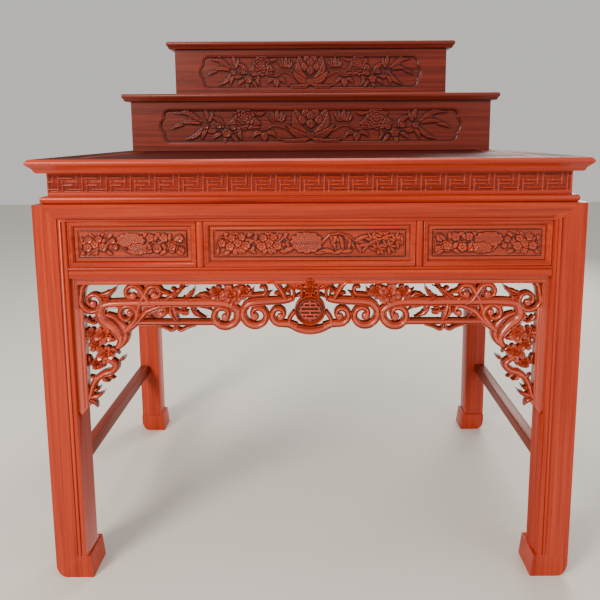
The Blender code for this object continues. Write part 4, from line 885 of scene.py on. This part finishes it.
def addLeaf(bm, side, base, tip, width, share, bend):
    (x0, z0), (x1, z1) = base, tip
    path, lift = [], []
    for index in range(13):
        s = index / 12
        bow = bend * math.sin(math.pi * s)
        lobes = 1 + 0.10 * math.sin(s * 19)
        spread = max(0.10, math.sin(math.pi * min(s + 0.04, 1.0) ** 0.8)) * lobes
        path.append((x0 + (x1 - x0) * s - (z1 - z0) * bow, z0 + (z1 - z0) * s + (x1 - x0) * bow,
                     width * spread))
        lift.append(0.80 + 0.20 * math.sin(math.pi * s ** 0.7))
    sweep(bm, placed(path, side), "leaf", share, lift)


def addFlower(bm, side, centre, radius, share, petals, turn):
    # broad outer petals, a smaller ring within them and a dotted heart
    rings = ((petals, 1.0, 0.86, 0.90), (petals - 1, 0.60, 0.58, 1.0))
    for ring, (count, reach, spread, level) in enumerate(rings):
        for petal in range(count):
            angle = turn + math.tau * (petal + 0.5 * ring) / count
            path = [(centre[0] + radius * reach * along * math.cos(angle),
                     centre[1] + radius * reach * along * math.sin(angle), radius * spread * width)
                    for along, width, _ in petalSpine]
            sweep(bm, placed(path, side), "petal", share * level, [rise for _, _, rise in petalSpine])
    x, z = drawnPlace(*centre, side)
    addKnob(bm, (x, z), radius * 0.15 * mm, share * 1.02)
    for dot in range(6):
        angle, away = math.tau * dot / 6, radius * 0.22 * mm
        addKnob(bm, (x + away * math.cos(angle), z + away * math.sin(angle)), radius * 0.07 * mm, share)


# One half of the apron, out from the middle and down from the top. A strand is a lead of (out, down, width)
# points and a spiral: its centre, radii, degrees and widths. The last value is its depth.
apronStrands = (
    ([(640, 14, 13), (655, 32, 13)], ((627, 73), (36, 9), (0, 450), (13, 9)), 0.86),
    ([(562, 212, 12), (551, 186, 18), (576, 150, 23), (602, 128, 24), (606, 102, 22), (584, 82, 20),
      (482, 78, 20), (374, 78, 20), (262, 79, 20), (222, 92, 19)],
     ((250, 115), (43, 9), (195, -235), (18, 10)), 0.92),
    ([(590, 112, 10), (560, 126, 15), (537, 158, 18), (540, 190, 15), (560, 212, 10)], None, 0.84),
    ([(446, 84, 12), (464, 75, 13), (477, 56, 13)], ((513, 50), (27, 8), (212, 470), (13, 9)), 1.0),
    ([(500, 108, 12), (488, 74, 13), (476, 54, 13)], ((446, 50), (25, 8), (-28, -290), (13, 9)), 0.96),
    ([(538, 166, 13), (504, 126, 14)], ((529, 112), (30, 9), (178, 560), (14, 9)), 1.0),
    ([(530, 160, 12), (500, 134, 14), (474, 104, 14)], ((430, 107), (19, 6), (300, 90), (12, 8)), 0.88),
    ([(508, 137, 13), (262, 137, 13)], None, 0.80),
    ([(446, 145, 6), (422, 152, 7)], ((401, 148), (13, 5), (70, 300), (8, 6)), 0.76),
    ([(332, 145, 6), (356, 152, 7)], ((377, 148), (13, 5), (110, -120), (8, 6)), 0.76),
    ([(52, 66, 14), (78, 72, 16), (160, 77, 18), (184, 87, 18)],
     ((154, 114), (42, 9), (-18, 400), (17, 10)), 0.94),
    ([(196, 54, 9), (160, 57, 10)], ((138, 40), (16, 6), (70, 320), (10, 7)), 0.86),
    ([(40, 152, 18), (62, 143, 16)], ((88, 114), (28, 8), (100, -250), (16, 9)), 0.90),
    ([(222, 114, 12), (184, 114, 12)], None, 0.78),
    ([(58, 146, 12), (60, 128, 10), (44, 104, 10)], None, 0.82),
    ([(4, 30, 14), (30, 31, 16), (84, 12, 10)], None, 0.84),
    ([(50, 72, 7), (46, 58, 8)], ((57, 44), (11, 4), (170, 470), (7, 5)), 0.96),
    ([(24, 62, 6), (23, 44, 7)], ((33, 31), (10, 4), (172, 470), (7, 5)), 1.08),
    ([(600, 240, 12), (570, 264, 15), (582, 284, 15), (608, 293, 15), (634, 316, 14), (652, 368, 12)],
     None, 0.90),
    ([(120, 15, 7), (104, 16, 9), (94, 26, 11), (82, 44, 11), (70, 66, 9)], None, 1.04),
    ([(404, 92, 8), (384, 104, 8)], ((364, 100), (13, 4), (150, -150), (8, 5)), 0.84),
    ([(440, 36, 8), (418, 48, 9)], ((398, 42), (14, 5), (30, 280), (8, 6)), 0.86),
    ([(648, 120, 8), (640, 132, 9)], ((626, 128), (11, 4), (40, 330), (7, 5)), 0.84),
)
apronLeaves = (  # base, tip, width, depth
    ((612, 56), (552, 24), 19, 0.90), ((586, 80), (572, 50), 13, 0.96), ((398, 84), (376, 138), 29, 0.98),
    ((320, 74), (366, 58), 17, 1.0), ((286, 66), (334, 60), 19, 0.92), ((262, 56), (300, 36), 16, 0.88),
    ((188, 60), (160, 30), 15, 0.90), ((74, 66), (62, 28), 13, 0.86), ((656, 364), (606, 344), 17, 0.94),
    ((656, 372), (630, 396), 16, 0.88), ((600, 176), (560, 186), 24, 0.94), ((600, 246), (634, 280), 19, 0.86),
    ((240, 30), (276, 16), 14, 0.84), ((210, 34), (176, 22), 13, 0.84), ((420, 80), (452, 66), 14, 0.90),
    ((410, 92), (432, 120), 14, 0.86), ((560, 82), (530, 96), 13, 0.96), ((348, 84), (330, 112), 13, 0.90),
    ((640, 196), (648, 150), 14, 0.84), ((586, 216), (558, 232), 15, 0.90), ((612, 300), (590, 316), 13, 0.92),
    ((622, 306), (648, 296), 12, 0.88), ((644, 344), (618, 330), 13, 0.86), ((18, 36), (60, 12), 19, 1.08),
    ((8, 58), (48, 66), 15, 0.90), ((104, 52), (78, 60), 13, 0.90), ((420, 68), (380, 40), 17, 0.92),
    ((392, 66), (352, 30), 16, 0.88), ((362, 64), (330, 26), 15, 0.94), ((376, 34), (342, 16), 14, 0.86),
    ((345, 92), (300, 122), 17, 0.92), ((322, 90), (282, 104), 14, 0.88), ((470, 96), (452, 128), 13, 0.86),
    ((536, 84), (560, 66), 12, 0.94), ((600, 62), (566, 70), 13, 0.92), ((128, 70), (108, 44), 13, 0.88),
    ((560, 250), (540, 236), 12, 0.90), ((650, 236), (652, 270), 12, 0.82), ((596, 292), (574, 306), 12, 0.90),
    ((240, 84), (208, 74), 14, 0.94),
)
apronFlowers = (  # centre, radius, depth, petals
    ((228, 57), 33, 1.0, 5), ((268, 50), 23, 0.90, 5), ((190, 48), 22, 0.92, 5), ((636, 172), 21, 0.86, 5),
    ((602, 174), 27, 1.0, 5), ((628, 206), 20, 0.90, 5), ((600, 232), 27, 0.97, 5), ((628, 262), 17, 0.86, 5),
)


medallion = {
    "centre": (0, 101),
    "rings": ((41.5, 7.0, 1.0, "scroll"), (35.0, 2.6, 0.88, "bead")),  # radius, width, depth and section
    "discRadius": 40 * mm,
    "discThick": 17 * mm,
    "rows": ((-22, 17), (-12, 26), (0, 31), (11, 27), (21, 18)),  # the fret's bars: down, half length
    "columns": ((0, -31, -12), (-17, -22, -12), (17, -22, -12), (-26, -12, 0), (26, -12, 0), (0, 0, 11),
                (-12, 11, 21), (12, 11, 21), (0, 21, 30)),  # out, and from where down to where
    "barHalf": 1.9,
    "barDepths": (0.97, 0.50),
    "barRounding": 0.7 * mm,
}


def addMedallion(bm):
    x, z = drawnPlace(*medallion["centre"])
    for radius, width, share, section in medallion["rings"]:
        angles = [math.tau * index / 60 for index in range(61)]
        path = [(x + radius * mm * math.cos(angle), z - radius * mm * math.sin(angle), width * mm)
                for angle in angles]
        sweep(bm, path, section, share)
    thick, radius = medallion["discThick"], medallion["discRadius"]
    turned = Matrix.Translation((x, apronBack - thick / 2 + 1 * mm, z)) @ Matrix.Rotation(math.pi / 2, 4, "X")
    bmesh.ops.create_cone(bm, cap_ends=True, segments=60, radius1=radius, radius2=radius, depth=thick,
                          matrix=turned)
    half = medallion["barHalf"]
    front, back = (depthOf(share) for share in medallion["barDepths"])
    bars = [((-reach, row - half), (reach, row + half)) for row, reach in medallion["rows"]]
    bars += [((column - half, start), (column + half, end)) for column, start, end in medallion["columns"]]
    for (left, top), (right, bottom) in bars:
        low = Vector((x + left * mm, front, z - bottom * mm))
        high = Vector((x + right * mm, back, z - top * mm))
        bar = bmesh.new()
        place = Matrix.Translation((low + high) / 2) @ Matrix.Diagonal((*(high - low), 1.0))
        bmesh.ops.create_cube(bar, size=1.0, matrix=place)
        roundEdges(bar, bar.edges, medallion["barRounding"], 2)
        joinInto(bm, bar)


apronBorder = {
    "half": ((683, 0), (683, 404), (674, 415), (652, 388), (652, 98), (664, 88), (664, 22)),
    "depth": 0.90,
    "beads": ((3.0, 5.6, 1.0), (11.2, 6.2, 0.98)),  # distance from the inner edge, width and depth
}


def bothHalves(half):
    return [drawnPlace(*point, -1) for point in half], [drawnPlace(*point) for point in reversed(half)]


def addBorder(bm):
    left, right = bothHalves(apronBorder["half"][::-1])
    outline = right + left
    face = bm.faces.new([bm.verts.new((x, apronBack, z)) for x, z in outline])
    grown = bmesh.ops.extrude_face_region(bm, geom=[face])["geom"]
    for vertex in vertsOf(grown):
        vertex.co.y = depthOf(apronBorder["depth"])
    face.normal_flip()
    for side in (-1, 1):
        # the parts down the legs are boards of their own, so the face is parted where their grain turns
        bmesh.ops.bisect_plane(bm, geom=[*bm.verts, *bm.edges, *bm.faces], plane_no=(1, 0, 0),
                               plane_co=(side * (apronHalf - legStrip["width"]), 0, 0))
    for inward, width, share in apronBorder["beads"]:
        left, right = bothHalves((
            (652 + inward * 1.1, 392), (652 + inward, 98 + inward * 0.1),
            (664 + inward * 0.85, 88 + inward * 0.1), (664 + inward * 0.85, 22 - inward)))
        sweep(bm, [(x, z, width * mm) for x, z in left + right], "bead", share)


# the foot under the medallion and the small head over it
apronMiddle = {
    "collar": ((-62, 143, 16), (-34, 157, 22), (0, 162, 25), (34, 157, 22), (62, 143, 16)),
    "flowers": (((0, 42), 17, 1.04, 5, math.pi / 2), ((0, 19), 15, 1.20, 6, 0.0)),
    "knobs": ((-8, 29), (8, 29)),
    "knobRadius": 5 * mm,
    "knobDepth": 1.18,
}


def buildApron():
    bm = bmesh.new()
    addBorder(bm)
    for side in (-1, 1):
        for lead, turn, share in apronStrands:
            addStrand(bm, side, lead, turn, share)
        for index, (base, tip, width, share) in enumerate(apronLeaves):
            addLeaf(bm, side, base, tip, width, share, leafBow if index % 2 else -leafBow)
        for index, (centre, radius, share, petals) in enumerate(apronFlowers):
            addFlower(bm, side, centre, radius, share, petals, index * 0.7)
    sweep(bm, placed(smoothPath(apronMiddle["collar"], 6), 1), "scroll", 0.96)
    for flower in apronMiddle["flowers"]:
        addFlower(bm, 1, *flower)
    for place in apronMiddle["knobs"]:
        addKnob(bm, drawnPlace(*place), apronMiddle["knobRadius"], apronMiddle["knobDepth"])
    addMedallion(bm)
    bmesh.ops.recalc_face_normals(bm, faces=bm.faces)
    mesh = meshFrom("apron_wood", bm)
    places = np.zeros(len(mesh.vertices) * 3, np.float32)
    mesh.vertices.foreach_get("co", places)
    # Faces are darker the deeper they lie behind the strands' front: painted shade and gathered stain.
    proud, deep = depthOf(0.84), depthOf(0.30)
    paintShadeAndStain(mesh, np.clip((places[1::3] - proud) / (deep - proud), 0, 0.86).astype(np.float32))
    nodes = ["apron_centre", "apron_bracket_left", "apron_bracket_right"]
    finishMesh("apron_wood", mesh, nodes, woodFor("apron_centre", "x", True), 50)
    mesh.materials.append(woodFor("apron_bracket_left", "z", True))
    for face in mesh.polygons:
        onStrip = abs(face.center.x) > apronHalf - legStrip["width"]
        if onStrip and face.center.z < apronTop - legStrip["from"]:
            face.material_index = 1


buildApron()
print("apron finished")


def addLight(name, place, aim, size, power, colour):
    data = bpy.data.lights.new(name, "AREA")
    data.shape = "DISK"
    data.size = size
    data.energy = power
    data.color = hexColour(colour)[:3]
    light = addObject(name, data)
    light.location = place
    light.rotation_euler = (Vector(aim) - Vector(place)).to_track_quat("-Z", "Y").to_euler()


backdrop = {"floor": "#D8D4CC", "roughness": 0.75, "reach": 9.0, "sky": "#E6E4E0", "skyStrength": 0.8}
lights = {  # place, aim, size in metres, watts and colour
    "key": ((-2.6, -3.2, 3.0), (0, 0, 0.9), 1.5, 210, "#FFF1E2"),
    "fill": ((3.0, -2.6, 1.8), (0, 0, 0.8), 2.4, 30, "#F2F4FF"),
    "top": ((0, 0.2, 4.2), (0, 0, 1.0), 2.6, 80, "#FFFFFF"),
    "behind": ((1.8, 3.4, 2.6), (0, 0, 0.9), 2.4, 110, "#FFF8F0"),
}


def buildStage():
    bm = bmesh.new()
    bmesh.ops.create_grid(bm, x_segments=1, y_segments=1, size=backdrop["reach"])
    mesh = meshFrom("floor", bm)
    floor = addObject("floor", mesh)
    material = bpy.data.materials.new("paleMattFloor")
    material.use_nodes = True
    shader = material.node_tree.nodes["Principled BSDF"]
    shader.inputs["Base Color"].default_value = hexColour(backdrop["floor"])
    shader.inputs["Roughness"].default_value = backdrop["roughness"]
    mesh.materials.append(material)
    world = bpy.data.worlds.new("studio")
    world.use_nodes = True
    sky = world.node_tree.nodes["Background"]
    sky.inputs["Color"].default_value = hexColour(backdrop["sky"])
    sky.inputs["Strength"].default_value = backdrop["skyStrength"]
    bpy.context.scene.world = world
    for name, values in lights.items():
        addLight(name, *values)


photoView = {
    "place": (0.015, -2.058, 1.335),
    "lens": 34.3,
    "pitch": 7.56,
    "yaw": 0.17,
    "roll": -0.30,
    "shift": (-0.022, -0.15),
}


def buildCamera():
    view = photoView
    data = bpy.data.cameras.new("camera")
    data.sensor_width = 36.0
    data.lens = view["lens"]
    data.shift_x, data.shift_y = view["shift"]
    camera = addObject("camera", data)
    turn = Matrix.Rotation(math.radians(view["yaw"]), 4, "Z")
    tilt = Matrix.Rotation(math.radians(90 - view["pitch"]), 4, "X")
    roll = Matrix.Rotation(math.radians(view["roll"]), 4, "Z")
    camera.matrix_world = Matrix.Translation(view["place"]) @ turn @ tilt @ roll
    bpy.context.scene.camera = camera


buildStage()
buildCamera()
